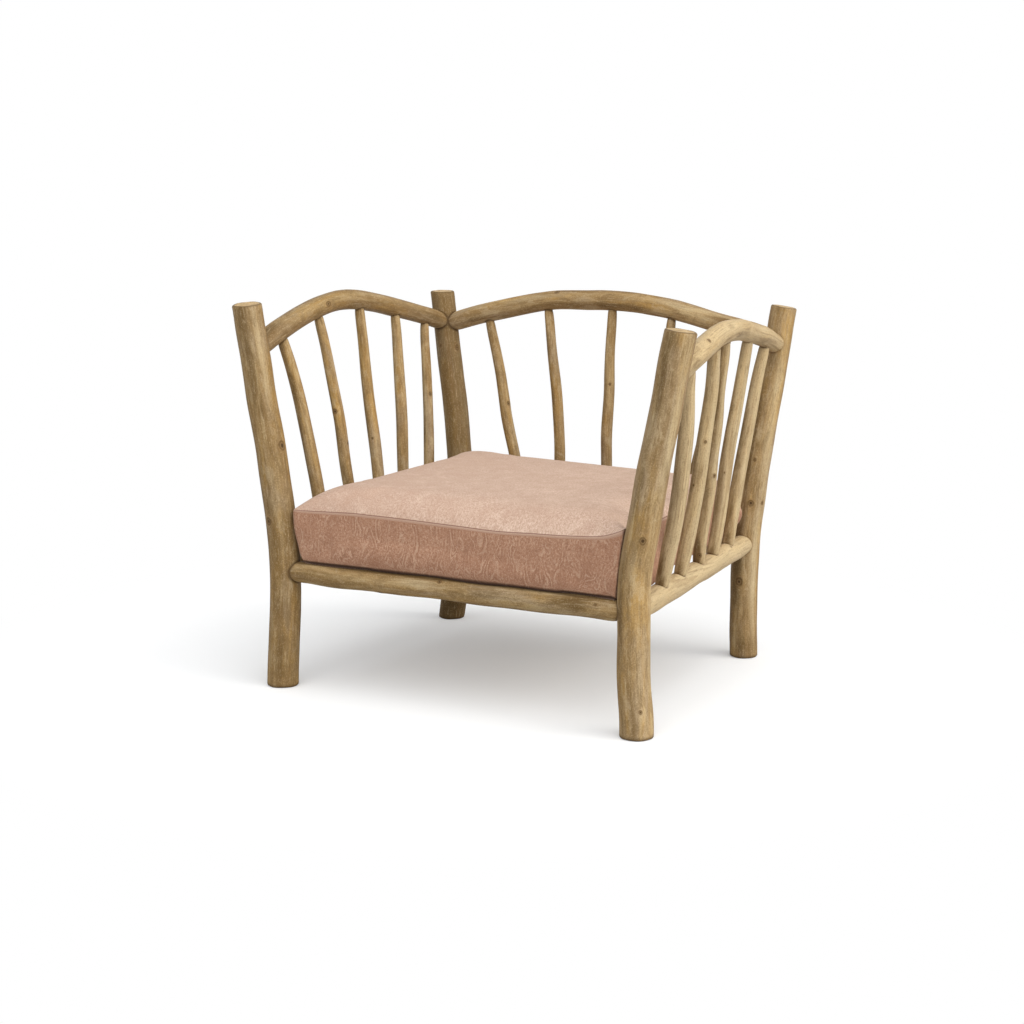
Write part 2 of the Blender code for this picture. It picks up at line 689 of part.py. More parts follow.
def main():
    """Clear the scene and build the chair."""
    for obj in list(bpy.data.objects):
        bpy.data.objects.remove(obj)
    frame = empty("frame", Vector((0, 0, 0)))
    make_posts(frame)
    make_rails(frame)
    make_spindles(frame)
    make_deck(frame)
    cushion = empty("cushion", Vector((0, 0, CUSHION_BOTTOM)))
    make_cushion(cushion)


main()
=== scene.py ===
"""Looks of the branch-wood armchair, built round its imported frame.

Every log is lofted again along the frame's own centrelines, with the lumps, knots and eased ends of
peeled branches. The loose cushion is swelled by a cloth simulation. Metres, +Z up.
"""

import math

import bpy
import numpy as np
from mathutils import Matrix, Vector
from mathutils.bvhtree import BVHTree


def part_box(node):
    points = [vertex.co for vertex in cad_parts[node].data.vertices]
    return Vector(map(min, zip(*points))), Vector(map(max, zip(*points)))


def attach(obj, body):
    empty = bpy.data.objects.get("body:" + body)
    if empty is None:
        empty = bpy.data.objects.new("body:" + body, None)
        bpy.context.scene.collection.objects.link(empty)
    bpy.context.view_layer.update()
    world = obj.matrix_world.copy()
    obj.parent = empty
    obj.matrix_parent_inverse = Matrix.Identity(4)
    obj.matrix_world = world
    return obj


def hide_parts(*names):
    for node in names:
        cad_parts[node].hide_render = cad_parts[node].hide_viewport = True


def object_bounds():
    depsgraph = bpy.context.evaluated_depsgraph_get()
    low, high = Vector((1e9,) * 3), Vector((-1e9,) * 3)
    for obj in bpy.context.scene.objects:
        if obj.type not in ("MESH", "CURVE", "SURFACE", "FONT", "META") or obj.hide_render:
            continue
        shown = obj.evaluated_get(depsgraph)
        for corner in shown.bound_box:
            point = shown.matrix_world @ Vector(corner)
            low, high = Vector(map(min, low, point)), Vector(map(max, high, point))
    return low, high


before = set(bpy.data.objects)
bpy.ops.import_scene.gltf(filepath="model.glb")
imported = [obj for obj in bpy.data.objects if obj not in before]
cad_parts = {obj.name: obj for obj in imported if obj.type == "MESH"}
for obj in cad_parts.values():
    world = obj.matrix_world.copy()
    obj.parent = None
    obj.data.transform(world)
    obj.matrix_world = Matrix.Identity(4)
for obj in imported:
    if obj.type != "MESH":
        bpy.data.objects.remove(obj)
cad_box = [list(corner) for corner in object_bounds()]

# Posts: side, place at the seat, height, kick of the foot, flare, rake, radius at the foot and top
POSTS = {
    "front_left_post": (-1, 0.4200, -0.38275, 0.845, 0.012, 0.091, 0.008, 0.0350, 0.0325),
    "front_right_post": (1, 0.4200, -0.38275, 0.837, 0.010, 0.091, 0.008, 0.0350, 0.0325),
    "back_left_post": (-1, 0.3625, 0.33625, 0.817, 0.036, 0.086, 0.052, 0.0325, 0.0295),
    "back_right_post": (1, 0.3925, 0.32125, 0.817, 0.001, 0.056, 0.067, 0.0325, 0.0295),
}
TOP_CUT = {"front_left_post": (-0.025, -0.103), "front_right_post": (0.127, 0.040),
           "back_left_post": (0.0, -0.012), "back_right_post": (0.140, 0.073)}
SEAT_RAIL_HEIGHT = 0.262
LEAN_STEPS = ((0.28, 0.17), (0.62, 0.56), (1.0, 1.0))
BACK_RIGHT_LEAN_STEPS = ((0.28, 0.245), (0.62, 0.58), (1.0, 1.0))

# Rails: first post, second post, heights along the way, radius at each post
LEVEL = ((0.0, SEAT_RAIL_HEIGHT), (1.0, SEAT_RAIL_HEIGHT))
RISING = ((0.0, 0.264), (1.0, 0.271))
LEFT_ARCH = ((0.0, 0.745), (0.23, 0.8024), (0.46, 0.827), (0.73, 0.7922), (1.0, 0.740))
RIGHT_ARCH = ((0.0, 0.743), (0.23, 0.7832), (0.46, 0.803), (0.73, 0.7742), (1.0, 0.731))
BACK_ARCH = ((0.0, 0.737), (0.25, 0.7921), (0.50, 0.8135), (0.75, 0.7883), (1.0, 0.737))
RAILS = {
    "front_seat_rail": ("front_left_post", "front_right_post", LEVEL, 0.0240, 0.0240),
    "back_seat_rail": ("back_left_post", "back_right_post", LEVEL, 0.0225, 0.0225),
    "left_seat_rail": ("front_left_post", "back_left_post", LEVEL, 0.0240, 0.0220),
    "right_seat_rail": ("front_right_post", "back_right_post", RISING, 0.0255, 0.0240),
    "back_top_rail": ("back_left_post", "back_right_post", BACK_ARCH, 0.0235, 0.0235),
    "left_arm_rail": ("front_left_post", "back_left_post", LEFT_ARCH, 0.0245, 0.0215),
    "right_arm_rail": ("front_right_post", "back_right_post", RIGHT_ARCH, 0.0245, 0.0215),
}

# Spindles: place of the foot and of the head along their rails, bow to the right, radius
SPINDLE_ROWS = {
    "left_spindle": ("left_seat_rail", "left_arm_rail", (
        (0.20, 0.13, 0.021, 0.0150), (0.365, 0.32, 0.013, 0.0134), (0.535, 0.535, -0.002, 0.0140),
        (0.635, 0.72, 0.008, 0.0140), (0.795, 0.88, 0.002, 0.0127))),
    "back_spindle": ("back_seat_rail", "back_top_rail", (
        (0.23, 0.14, 0.003, 0.0138), (0.355, 0.325, 0.012, 0.0134), (0.52, 0.52, -0.004, 0.0134),
        (0.65, 0.695, -0.005, 0.0134), (0.77, 0.86, 0.004, 0.0134))),
    "right_spindle": ("right_seat_rail", "right_arm_rail", (
        (0.207, 0.128, 0.015, 0.0170), (0.362, 0.331, 0.011, 0.0160), (0.533, 0.42, 0.002, 0.0150),
        (0.663, 0.661, -0.002, 0.0150), (0.808, 0.859, -0.005, 0.0150))),
}
SPINDLE_PROFILE = ((0.0, 0.86), (0.25, 1.0), (0.6, 0.97), (1.0, 0.80))

# Knots: share of the length, angle round the log in degrees, radius, height of its swelling
KNOTS = {
    "front_left_post": ((0.630, -8, 0.0080, 0.0022), (0.443, -107, 0.0065, 0.0020), (0.20, 60, 0.0058, 0.002),
                        (0.30, 170, 0.0072, 0.003), (0.72, 150, 0.0058, 0.002)),
    "front_right_post": ((0.497, -62, 0.0061, 0.0018), (0.072, -50, 0.0036, 0.0012), (0.33, 130, 0.0065, 0.002),
                         (0.62, 95, 0.0058, 0.002), (0.80, 170, 0.0050, 0.002)),
    "back_left_post": ((0.825, -18, 0.0061, 0.0018), (0.835, -100, 0.0032, 0.0010), (0.50, 120, 0.0065, 0.002),
                       (0.15, 140, 0.0058, 0.002)),
    "back_right_post": ((0.223, -90, 0.0078, 0.0022), (0.445, -72, 0.0055, 0.0030), (0.450, -20, 0.0040, 0.0012),
                        (0.568, -82, 0.0036, 0.0012), (0.62, 110, 0.0065, 0.002), (0.30, 60, 0.0050, 0.002)),
    "front_seat_rail": ((0.475, 45, 0.0036, 0.0010), (0.91, 65, 0.0032, 0.0010), (0.30, 150, 0.0050, 0.001)),
    "right_seat_rail": ((0.792, 36, 0.0032, 0.0010), (0.45, -60, 0.0050, 0.001)),
    "left_seat_rail": ((0.40, 60, 0.0043, 0.001),),
    "back_seat_rail": ((0.60, -120, 0.0043, 0.001),),
    "left_arm_rail": ((0.347, 75, 0.0061, 0.0018), (0.62, -70, 0.0050, 0.001)),
    "right_arm_rail": ((0.225, 41, 0.0045, 0.0018), (0.60, -50, 0.0050, 0.001)),
    "back_top_rail": ((0.36, 30, 0.0050, 0.001), (0.70, -40, 0.0058, 0.001)),
    "left_spindle_2": ((0.575, -88, 0.0050, 0.0022), (0.44, 0, 0.0029, 0.001)),
    "left_spindle_3": ((0.427, -75, 0.0025, 0.0008),),
    "left_spindle_4": ((0.55, 150, 0.0036, 0.001),),
    "left_spindle_5": ((0.623, -29, 0.0043, 0.0018),),
    "back_spindle_1": ((0.562, -23, 0.0043, 0.0015),),
    "back_spindle_3": ((0.64, -60, 0.0029, 0.001),),
    "back_spindle_4": ((0.40, 100, 0.0036, 0.001),),
    "right_spindle_1": ((0.52, 40, 0.0030, 0.001),),
    "right_spindle_2": ((0.595, -59, 0.0035, 0.0012), (0.417, -102, 0.0018, 0.0008)),
    "right_spindle_3": ((0.420, -32, 0.0035, 0.0020), (0.083, -67, 0.0044, 0.0010)),
    "right_spindle_4": ((0.400, -74, 0.0020, 0.0008),),
}

# Stains and painted shade: share of the length, angle round the log in degrees, half length, half width, strength
# Painted shade: the long dark bands on posts and spindles at about -95 to -140 degrees, on the flank turned from the
# lamps; the long thin one down the front-left post's right edge; and the long ones along the tops of the left arm and
# the back top rail
STAINS_AND_SHADE = {
    "front_left_post": ((0.98, -80, 0.085, 0.014, 1.0), (0.84, -82, 0.100, 0.012, 0.8), (0.72, -70, 0.030, 0.014, 0.5),
                        (0.45, -140, 0.250, 0.010, 0.6), (0.07, -66, 0.080, 0.018, 0.7), (0.30, 20, 0.300, 0.005, 0.6)),
    "front_right_post": ((0.90, -104, 0.140, 0.011, 0.9), (0.62, -106, 0.120, 0.010, 0.7), (0.30, -120, 0.150, 0.010, 0.6)),
    "back_left_post": ((0.60, -95, 0.200, 0.012, 0.6), (0.10, -63, 0.110, 0.070, 1.0)),
    "back_right_post": ((0.62, -106, 0.200, 0.012, 0.9), (0.30, -104, 0.130, 0.012, 0.9), (0.03, -63, 0.040, 0.030, 0.7)),
    "left_arm_rail": ((0.08, 30, 0.055, 0.012, 0.9), (0.30, 95, 0.040, 0.008, 0.6), (0.55, 15, 0.060, 0.008, 0.6),
                      (0.78, 20, 0.070, 0.009, 0.7), (0.90, 85, 0.050, 0.010, 0.7), (0.50, 5, 0.300, 0.014, 0.5)),
    "right_arm_rail": ((0.10, 95, 0.040, 0.010, 0.5), (0.50, 110, 0.080, 0.010, 0.5)),
    "back_top_rail": ((0.90, 60, 0.060, 0.016, 0.8), (0.50, 115, 0.180, 0.010, 0.7), (0.42, 20, 0.080, 0.007, 0.6),
                      (0.10, 110, 0.060, 0.010, 0.6), (0.50, 5, 0.400, 0.014, 0.45)),
    "front_seat_rail": ((0.85, 72, 0.055, 0.022, 0.8), (0.58, 85, 0.080, 0.014, 0.6), (0.16, 75, 0.070, 0.012, 0.5)),
    "left_spindle": ((0.55, -120, 0.160, 0.006, 0.7), (0.02, -63, 0.030, 0.020, 0.6)),
    "left_spindle_1": ((0.75, -85, 0.070, 0.008, 0.8),),
    "left_spindle_2": ((0.30, -70, 0.060, 0.007, 0.6),),
    "back_spindle": ((0.50, -115, 0.200, 0.006, 0.7),),
    "right_spindle": ((0.05, -80, 0.035, 0.010, 0.8), (0.50, -130, 0.300, 0.009, 0.75)),
    "right_spindle_1": ((0.13, -112, 0.040, 0.007, 1.0), (0.48, -92, 0.080, 0.008, 0.45)),
    "right_spindle_3": ((0.66, -95, 0.200, 0.011, 1.0), (0.09, -95, 0.045, 0.009, 1.0)),
    "right_spindle_4": ((0.30, -108, 0.120, 0.008, 0.7),),
    "right_spindle_5": ((0.40, -95, 0.160, 0.008, 0.6),),
}
# Pale scars where the peeling went deeper, and painted highlights, given the same way
# Painted highlights: the long pale bands on the right posts, the right spindles and the right seat and arm rails, on
# their sides towards the lamps
SCARS_AND_HIGHLIGHTS = {
    "front_left_post": ((0.88, -28, 0.110, 0.009, 0.9), (0.52, -50, 0.080, 0.012, 0.3)),
    "front_right_post": ((0.80, -25, 0.180, 0.013, 0.9), (0.42, -80, 0.060, 0.012, 0.5)),
    "back_right_post": ((0.72, -35, 0.180, 0.012, 0.8), (0.22, -32, 0.180, 0.012, 0.8)),
    "left_arm_rail": ((0.25, 45, 0.060, 0.010, 0.3),),
    "back_top_rail": ((0.30, 55, 0.120, 0.010, 0.6), (0.72, 50, 0.100, 0.010, 0.6)),
    "front_seat_rail": ((0.40, 62, 0.060, 0.010, 0.7), (0.10, 30, 0.060, 0.009, 0.5)),
    "right_arm_rail": ((0.35, 50, 0.120, 0.014, 0.8), (0.75, 60, 0.090, 0.012, 0.7)),
    "right_seat_rail": ((0.50, 55, 0.400, 0.018, 0.9),),
    "right_spindle": ((0.45, -22, 0.300, 0.008, 1.0),),
}

# Tone of each kind of log, from dark to pale, and of the ones that stand out: partly the wood's own tone and partly
# painted light, with the logs on the right, towards the lamps, painted paler, and the left ones, the back-left post
# most, painted darker as shade
TONE = {
    "front_left_post": -0.36, "front_right_post": 0.18, "back_left_post": -0.65, "back_right_post": 0.15,
    "front_seat_rail": -0.32, "back_seat_rail": -0.10, "left_seat_rail": -0.10, "right_seat_rail": 0.85,
    "back_top_rail": -0.20, "left_arm_rail": -0.34, "right_arm_rail": 0.65,
    "left_spindle": -0.05, "back_spindle": -0.10, "right_spindle": 0.62,
    "right_spindle_3": 0.40, "right_spindle_5": 0.50,
}

# How dark the painted contact shade at the joints of some logs is, beside the others
JOINT_SHADE = {"right_arm_rail": 0.35, "right_seat_rail": 0.35, "back_right_post": 0.45}

# How a log is drawn
LOG_STEP = 0.003
POST_SIDES = 72
RAIL_SIDES = 60
SPINDLE_SIDES = 40
HIDDEN_END = 0.012
SPINDLE_HIDDEN_END = 0.007
TOP_EASE = 0.0040
FOOT_EASE = 0.0035

# Cushion
CUSHION_BOTTOM = 0.2868
CUSHION_SEAM = 0.4055
CUSHION_CROWN = 0.044
CUSHION_FULLNESS = 14
CUSHION_LEFT_FULLNESS = 15
CUSHION_FRONT_FULLNESS = 12
CUSHION_BACK_FALL = 0.026
CUSHION_FRONT_LEFT = 0.3825
CUSHION_FRONT_RIGHT = 0.3930
CUSHION_LEFT_BACK = 0.3400
CUSHION_RIGHT_BACK = 0.3680
CUSHION_FRONT = -0.4035
CUSHION_BACK = 0.3000
CUSHION_CORNER = 0.011
CUSHION_DRAW_IN = 0.005
CUSHION_LEFT_FLARE = 0.0130
CUSHION_RIGHT_FLARE = 0.0155
CUSHION_BACK_BULGE = 0.042
CUSHION_SIDE_SAG = 0.016
# Height of the front seam along its length
FRONT_SEAM = ((-0.39, 0.4015), (-0.31, 0.4057), (-0.22, 0.409), (-0.09, 0.407), (0.03, 0.404), (0.113, 0.402),
              (0.193, 0.405), (0.272, 0.408), (0.349, 0.4150), (0.385, 0.4240), (0.41, 0.4335))
# Height of the front's lower edge along its length
FRONT_HEM = ((-0.39, 0.325), (-0.372, 0.311), (-0.358, 0.300), (-0.335, 0.2945), (-0.3147, 0.2920), (-0.2384, 0.2885),
             (-0.0646, 0.2885), (0.1734, 0.2905), (0.3106, 0.2925), (0.375, 0.2945), (0.394, 0.299))
CUSHION_ROOM = 0.003
CUSHION_UNDER_EDGE = 0.008
CUSHION_COLUMNS = 108
CUSHION_ROWS = 100
BOXING_ROWS = 16
EDGE_ROWS = 4
SWELL_CAP = 0.006
SWELL_FRAMES = 20
SEAM_DEPTH = 0.0006

# The photograph's view
CAMERA_PLACE = (2.06497, -4.11435, 1.26532)
CAMERA_PITCH = math.radians(11.0789)
CAMERA_YAW = math.radians(27.2471)
CAMERA_LENS = 2067.0 * 36 / 1024


# Centrelines, as the frame has them


def through(knots, place):
    """Value at a place on a smooth curve through (place, value) knots, straight past its ends."""
    at = np.array([knot[0] for knot in knots])
    value = np.array([knot[1] for knot in knots])
    slope = np.gradient(value, at) if len(at) == 2 else np.empty(len(at))
    slope[0] = (value[1] - value[0]) / (at[1] - at[0])
    slope[-1] = (value[-1] - value[-2]) / (at[-1] - at[-2])
    slope[1:-1] = (value[2:] - value[:-2]) / (at[2:] - at[:-2])
    place = np.asarray(place, float)
    i = np.clip(np.searchsorted(at, place, side="right") - 1, 0, len(at) - 2)
    span = at[i + 1] - at[i]
    t = (place - at[i]) / span
    curve = ((2 * t ** 3 - 3 * t ** 2 + 1) * value[i] + (t ** 3 - 2 * t ** 2 + t) * span * slope[i]
             + (3 * t ** 2 - 2 * t ** 3) * value[i + 1] + (t ** 3 - t ** 2) * span * slope[i + 1])
    low = value[0] + slope[0] * (place - at[0])
    high = value[-1] + slope[-1] * (place - at[-1])
    return np.where(place < at[0], low, np.where(place > at[-1], high, curve))


def post_axis(name, height):
    """Points on a post's centreline."""
    side, x, y, top, kick, flare, rake, _, _ = POSTS[name]
    leans = BACK_RIGHT_LEAN_STEPS if name == "back_right_post" else LEAN_STEPS
    steps = [(SEAT_RAIL_HEIGHT + (top - SEAT_RAIL_HEIGHT) * rise, share) for rise, share in leans]
    outward = through([(0.0, kick), (SEAT_RAIL_HEIGHT, 0.0)] + [(h, flare * s) for h, s in steps], height)
    rearward = through([(0.0, 0.0), (SEAT_RAIL_HEIGHT, 0.0)] + [(h, rake * s) for h, s in steps], height)
    return np.stack([side * (x + outward), y + rearward, np.broadcast_to(height, outward.shape)], -1)


def rail_axis(name, share):
    """Points on a rail's centreline."""
    first, second, heights, _, _ = RAILS[name]
    share = np.asarray(share, float)
    height = through(heights, share)
    near = post_axis(first, height)
    return near + (post_axis(second, height) - near) * share[..., None]


def evenly(points, radii, step):
    """A polyline and its radii, sampled again at an even step."""
    arc = np.concatenate([[0], np.cumsum(np.linalg.norm(np.diff(points, axis=0), axis=1))])
    count = max(int(round(arc[-1] / step)), 2)
    at = np.linspace(0, arc[-1], count + 1)
    again = np.stack([np.interp(at, arc, points[:, k]) for k in range(3)], -1)
    return again, np.interp(at, arc, radii), at / arc[-1]


def distance_to(points, other, every=2):
    """Distance from points to the surface of another log, by its centreline."""
    gap = np.full(len(points), 1.0)
    axis = other["points"][::every]
    radii = other["radii"][::every]
    reach = 0.07
    near = np.all((points > axis.min(0) - reach) & (points < axis.max(0) + reach), axis=1)
    if near.any():
        squares = ((points[near][:, None, :] - axis[None]) ** 2).sum(2)
        closest = squares.argmin(1)
        gap[near] = np.sqrt(squares[np.arange(len(closest)), closest]) - radii[closest]
    return gap


def plan_logs():
    """Centreline, radii and neighbours of every log, cut short inside what it is tenoned into."""
    logs = {}
    dense = np.linspace(0, 1, 600)
    for name, post in POSTS.items():
        points, radii, shares = evenly(post_axis(name, dense * post[3]),
                                       post[7] + (post[8] - post[7]) * dense, LOG_STEP)
        logs[name] = {"points": points, "radii": radii, "shares": shares, "sides": POST_SIDES,
                      "reference": (1, 0, 0), "slot": "post_wood", "touches": []}
    for name, (first, second, _, radius, far_radius) in RAILS.items():
        points, radii, shares = evenly(rail_axis(name, dense), radius + (far_radius - radius) * dense, LOG_STEP)
        keep = np.minimum(distance_to(points, logs[first]), distance_to(points, logs[second])) > -HIDDEN_END
        logs[name] = {"points": points[keep], "radii": radii[keep], "shares": shares[keep], "sides": RAIL_SIDES,
                      "reference": (0, 0, 1), "slot": "rail_wood", "touches": [first, second]}
        logs[first]["touches"].append(name)
        logs[second]["touches"].append(name)
    for row, (low, high, spindles) in SPINDLE_ROWS.items():
        for number, (foot, head, bow, radius) in enumerate(spindles, start=1):
            start = rail_axis(low, np.array([foot]))[0]
            end = rail_axis(high, np.array([head]))[0]
            points = start + (end - start) * dense[:, None]
            points[:, 0] += bow * np.sin(np.pi * dense)
            points, radii, shares = evenly(points, radius * through(SPINDLE_PROFILE, dense), LOG_STEP)
            keep = np.minimum(distance_to(points, logs[low]), distance_to(points, logs[high])) > -SPINDLE_HIDDEN_END
            name = f"{row}_{number}"
            logs[name] = {"points": points[keep], "radii": radii[keep], "shares": shares[keep],
                          "sides": SPINDLE_SIDES, "reference": (1, 0, 0), "slot": "spindle_wood",
                          "touches": [low, high]}
            logs[low]["touches"].append(name)
            logs[high]["touches"].append(name)
    return logs


# Meshes


def mesh_piece(name, points, faces, attributes=None):
    """A smooth-shaded object with named point attributes."""
    mesh = bpy.data.meshes.new(name)
    mesh.from_pydata(points.tolist(), [], faces)
    for key, values in (attributes or {}).items():
        vector = values.ndim == 2
        layer = mesh.attributes.new(key, "FLOAT_VECTOR" if vector else "FLOAT", "POINT")
        layer.data.foreach_set("vector" if vector else "value", values.astype(np.float32).ravel())
    mesh.shade_smooth()
    obj = bpy.data.objects.new(name, mesh)
    bpy.context.scene.collection.objects.link(obj)
    return obj


def ring_faces(rings, sides, closed_ends):
    """Quads between rings of points, and fans to the two last points where the ends are closed."""
    i = np.arange(sides)
    j = (i + 1) % sides
    faces = []
    for k in range(rings - 1):
        low = k * sides
        high = low + sides
        faces += np.stack([low + i, low + j, high + j, high + i], -1).tolist()
    if closed_ends:
        first = rings * sides
        top = (rings - 1) * sides
        faces += np.stack([j, i, np.full(sides, first)], -1).tolist()
        faces += np.stack([top + i, top + j, np.full(sides, first + 1)], -1).tolist()
    return faces


def lumps(rng, arc, theta, size):
    """Smooth unevenness of a branch, as a share of its radius."""
    total = np.zeros((len(arc), len(theta)))
    for _ in range(9):
        length = rng.uniform(0.06, 0.42)
        around = rng.integers(0, 4)
        phase = rng.uniform(0, 2 * np.pi)
        depth = size * rng.uniform(0.4, 1.0) * math.sqrt(length / 0.3)
        total += depth * np.sin(2 * np.pi * arc[:, None] / length + around * theta[None] + phase)
    return total


def flats(rng, arc, theta, size):
    """Flats left by peeling with a drawknife, which wander round the log, as a share of its radius."""
    count = rng.integers(5, 8)
    turn = rng.uniform(0, 6.3) + 0.5 * np.sin(2 * np.pi * arc / rng.uniform(0.25, 0.6) + rng.uniform(0, 6.3))
    depth = size * (0.6 + 0.4 * np.sin(2 * np.pi * arc / rng.uniform(0.15, 0.4) + rng.uniform(0, 6.3)))
    return depth[:, None] * (0.64 - np.abs(np.sin(count / 2 * (theta[None] - turn[:, None]))))


def blots(spots, log, arc, theta):
    """How strongly each point of a log lies in one of several long spots."""
    total = np.zeros((len(arc), len(theta)))
    for share, angle, half_length, half_width, strength in spots:
        place = np.interp(share, log["shares"], arc)
        radius = np.interp(share, log["shares"], log["radii"])
        turn = (theta - math.radians(angle) + np.pi) % (2 * np.pi) - np.pi
        spot = np.exp(-((arc - place) / half_length)[:, None] ** 2 - (turn * radius / half_width)[None] ** 2)
        total = np.maximum(total, strength * spot)
    return total


def make_log(name, log, logs, seed):
    """One log: a lumpy loft with knots, drawn in where it meets another and painted with contact shade there, and cut
    ends on a post.
    """
    rng = np.random.default_rng(seed)
    points, radii, sides = log["points"], log["radii"], log["sides"]
    is_post = name in POSTS
    arc = np.concatenate([[0], np.cumsum(np.linalg.norm(np.diff(points, axis=0), axis=1))])
    theta = 2 * np.pi * np.arange(sides) / sides
    normal = np.gradient(points, axis=0)
    normal /= np.linalg.norm(normal, axis=1)[:, None]
    if is_post:
        level = np.clip(1 - arc / 0.03, 0, 1)[:, None]
        sawn = np.clip(1 - (arc[-1] - arc) / 0.04, 0, 1)[:, None]
        normal = normal * (1 - level - sawn) + np.array([0, 0, 1.0]) * level + np.array([*TOP_CUT[name], 1]) * sawn
        normal /= np.linalg.norm(normal, axis=1)[:, None]
    reference = np.array(log["reference"], float)
    across = reference - normal * (normal @ reference)[:, None]
    across /= np.linalg.norm(across, axis=1)[:, None]
    along = np.cross(normal, across)
    wander = np.zeros_like(points)
    for direction in (across, along):
        for _ in range(2):
            length = rng.uniform(0.16, 0.45)
            size = rng.uniform(0.3, 1.0) * (0.0011 if is_post else 0.0013)
            wander += direction * (size * np.sin(2 * np.pi * arc / length + rng.uniform(0, 6.3)))[:, None]
    fade = np.minimum(arc, arc[-1] - arc) / 0.05
    wander *= np.clip(fade, 0, 1)[:, None]
    shape = lumps(rng, arc, theta, 0.007 if is_post else 0.011)
    shape += flats(rng, arc, theta, 0.012 if is_post else 0.022)
    if name == "front_seat_rail":
        shape *= 0.45
    kind = name.rsplit("_", 1)[0]
    # dark holds stains and painted shade; pale holds scars and painted highlights
    dark = blots(STAINS_AND_SHADE.get(name, ()) + STAINS_AND_SHADE.get(kind, ()), log, arc, theta)
    pale = blots(SCARS_AND_HIGHLIGHTS.get(name, ()) + SCARS_AND_HIGHLIGHTS.get(kind, ()), log, arc, theta)
    grain_angle = np.broadcast_to(theta[None], shape.shape).copy()
    nearest = np.full(shape.shape, 20.0)
    knot = np.zeros((*shape.shape, 3))
    knot[..., 2] = 20.0
    for share, angle, size, rise in KNOTS.get(name, ()):
        place = np.interp(share, log["shares"], arc)
        radius = np.interp(share, log["shares"], radii)
        turn = (theta - math.radians(angle) + np.pi) % (2 * np.pi) - np.pi
        round_it = (turn * radius)[None]
        along_it = (arc - place)[:, None]
        from_it = np.stack(np.broadcast_arrays(along_it / (1.25 * size), round_it / size, 0.0), -1).copy()
        distance = np.linalg.norm(from_it, axis=-1)
        from_it[..., 2] = 4 * np.clip(distance - 2.5, 0, 5)
        knot = np.where((distance < nearest)[..., None], np.clip(from_it, -6, 20), knot)
        nearest = np.minimum(nearest, distance)
        shape += rise / radius * (np.exp(-(distance / 1.9) ** 2) - 0.55 * np.exp(-(distance / 0.7) ** 2))
        bend = 0.75 * np.exp(-(along_it / (3.2 * size)) ** 2 - (round_it / (2.2 * size)) ** 2)
        grain_angle -= bend * turn[None]
    spokes = (across[:, None, :] * np.cos(theta)[None, :, None] + along[:, None, :] * np.sin(theta)[None, :, None])
    surface = radii[:, None] * (1 + shape)
    co = (points + wander)[:, None, :] + spokes * surface[..., None]
    flat = co.reshape(-1, 3)
    gap = np.full(len(flat), 1.0)
    for other in log["touches"]:
        gap = np.minimum(gap, distance_to(flat, logs[other]))
    gap = gap.reshape(shape.shape)
    if not is_post:
        ends = logs[log["touches"][0]], logs[log["touches"][1]]
        scribe = np.minimum(distance_to(flat, ends[0]), distance_to(flat, ends[1])).reshape(shape.shape)
        draw_in = 0.10 * np.exp(-np.clip(scribe, 0, None) / 0.005)
        co -= spokes * (surface * draw_in)[..., None]
    # Painted contact shade: darker within a few millimetres of where this log meets another
    rim = JOINT_SHADE.get(name, 1.0) * np.exp(-np.clip(gap, 0, None) / 0.0030)
    # Painted shade: the front rail's top darkened where the cushion sits over it
    if name == "front_seat_rail":
        rim = np.maximum(rim, np.clip((co[..., 2] - 0.2812) / 0.003, 0, 1))
    grain = np.stack([radii[:, None] * np.cos(grain_angle), radii[:, None] * np.sin(grain_angle),
                      np.broadcast_to(arc[:, None], shape.shape)], -1)
    cap = np.zeros(shape.shape)
    if is_post:
        co, grain, knot, rim, cap = cut_ends(co, points, normal, grain, knot, rim, cap, rng)
        extra = (co.shape[0] - dark.shape[0]) // 2
        dark = np.pad(dark, ((extra, extra), (0, 0)), "edge")
        pale = np.pad(pale, ((extra, extra), (0, 0)), "edge")
    rings = co.shape[0]
    grain = grain + np.array([0.3, 0.2, 0]) * (seed % 7) + np.array([0, 0, 1.7]) * (seed % 11)
    middle = co[[0, -1]].mean(1)
    points_all = np.clip(np.concatenate([co.reshape(-1, 3), middle]), cad_box[0], cad_box[1])
    attributes = {}
    for key, values in (("grain", grain), ("knot", knot)):
        attributes[key] = np.concatenate([values.reshape(-1, 3), values[[0, -1]].mean(1)])
    for key, values in (("rim", rim), ("cap", cap), ("dark", dark), ("pale", pale)):
        attributes[key] = np.concatenate([values.ravel(), values[[0, -1]].mean(1)])
    tone = TONE.get(name, TONE.get(kind, 0.0)) + rng.uniform(-0.12, 0.12)
    attributes["tone"] = np.full(len(points_all), tone)
    # Painted shade under the seat: the back-left post darker from the seat rails down to its foot
    if name == "back_left_post":
        attributes["tone"] -= 0.7 * np.clip((0.26 - points_all[:, 2]) / 0.12, 0, 1)
    obj = mesh_piece(name + "_log", points_all, ring_faces(rings, sides, True), attributes)
    obj.data.materials.append(wood_paint)
    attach(obj, "frame")
    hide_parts(name)
    return obj


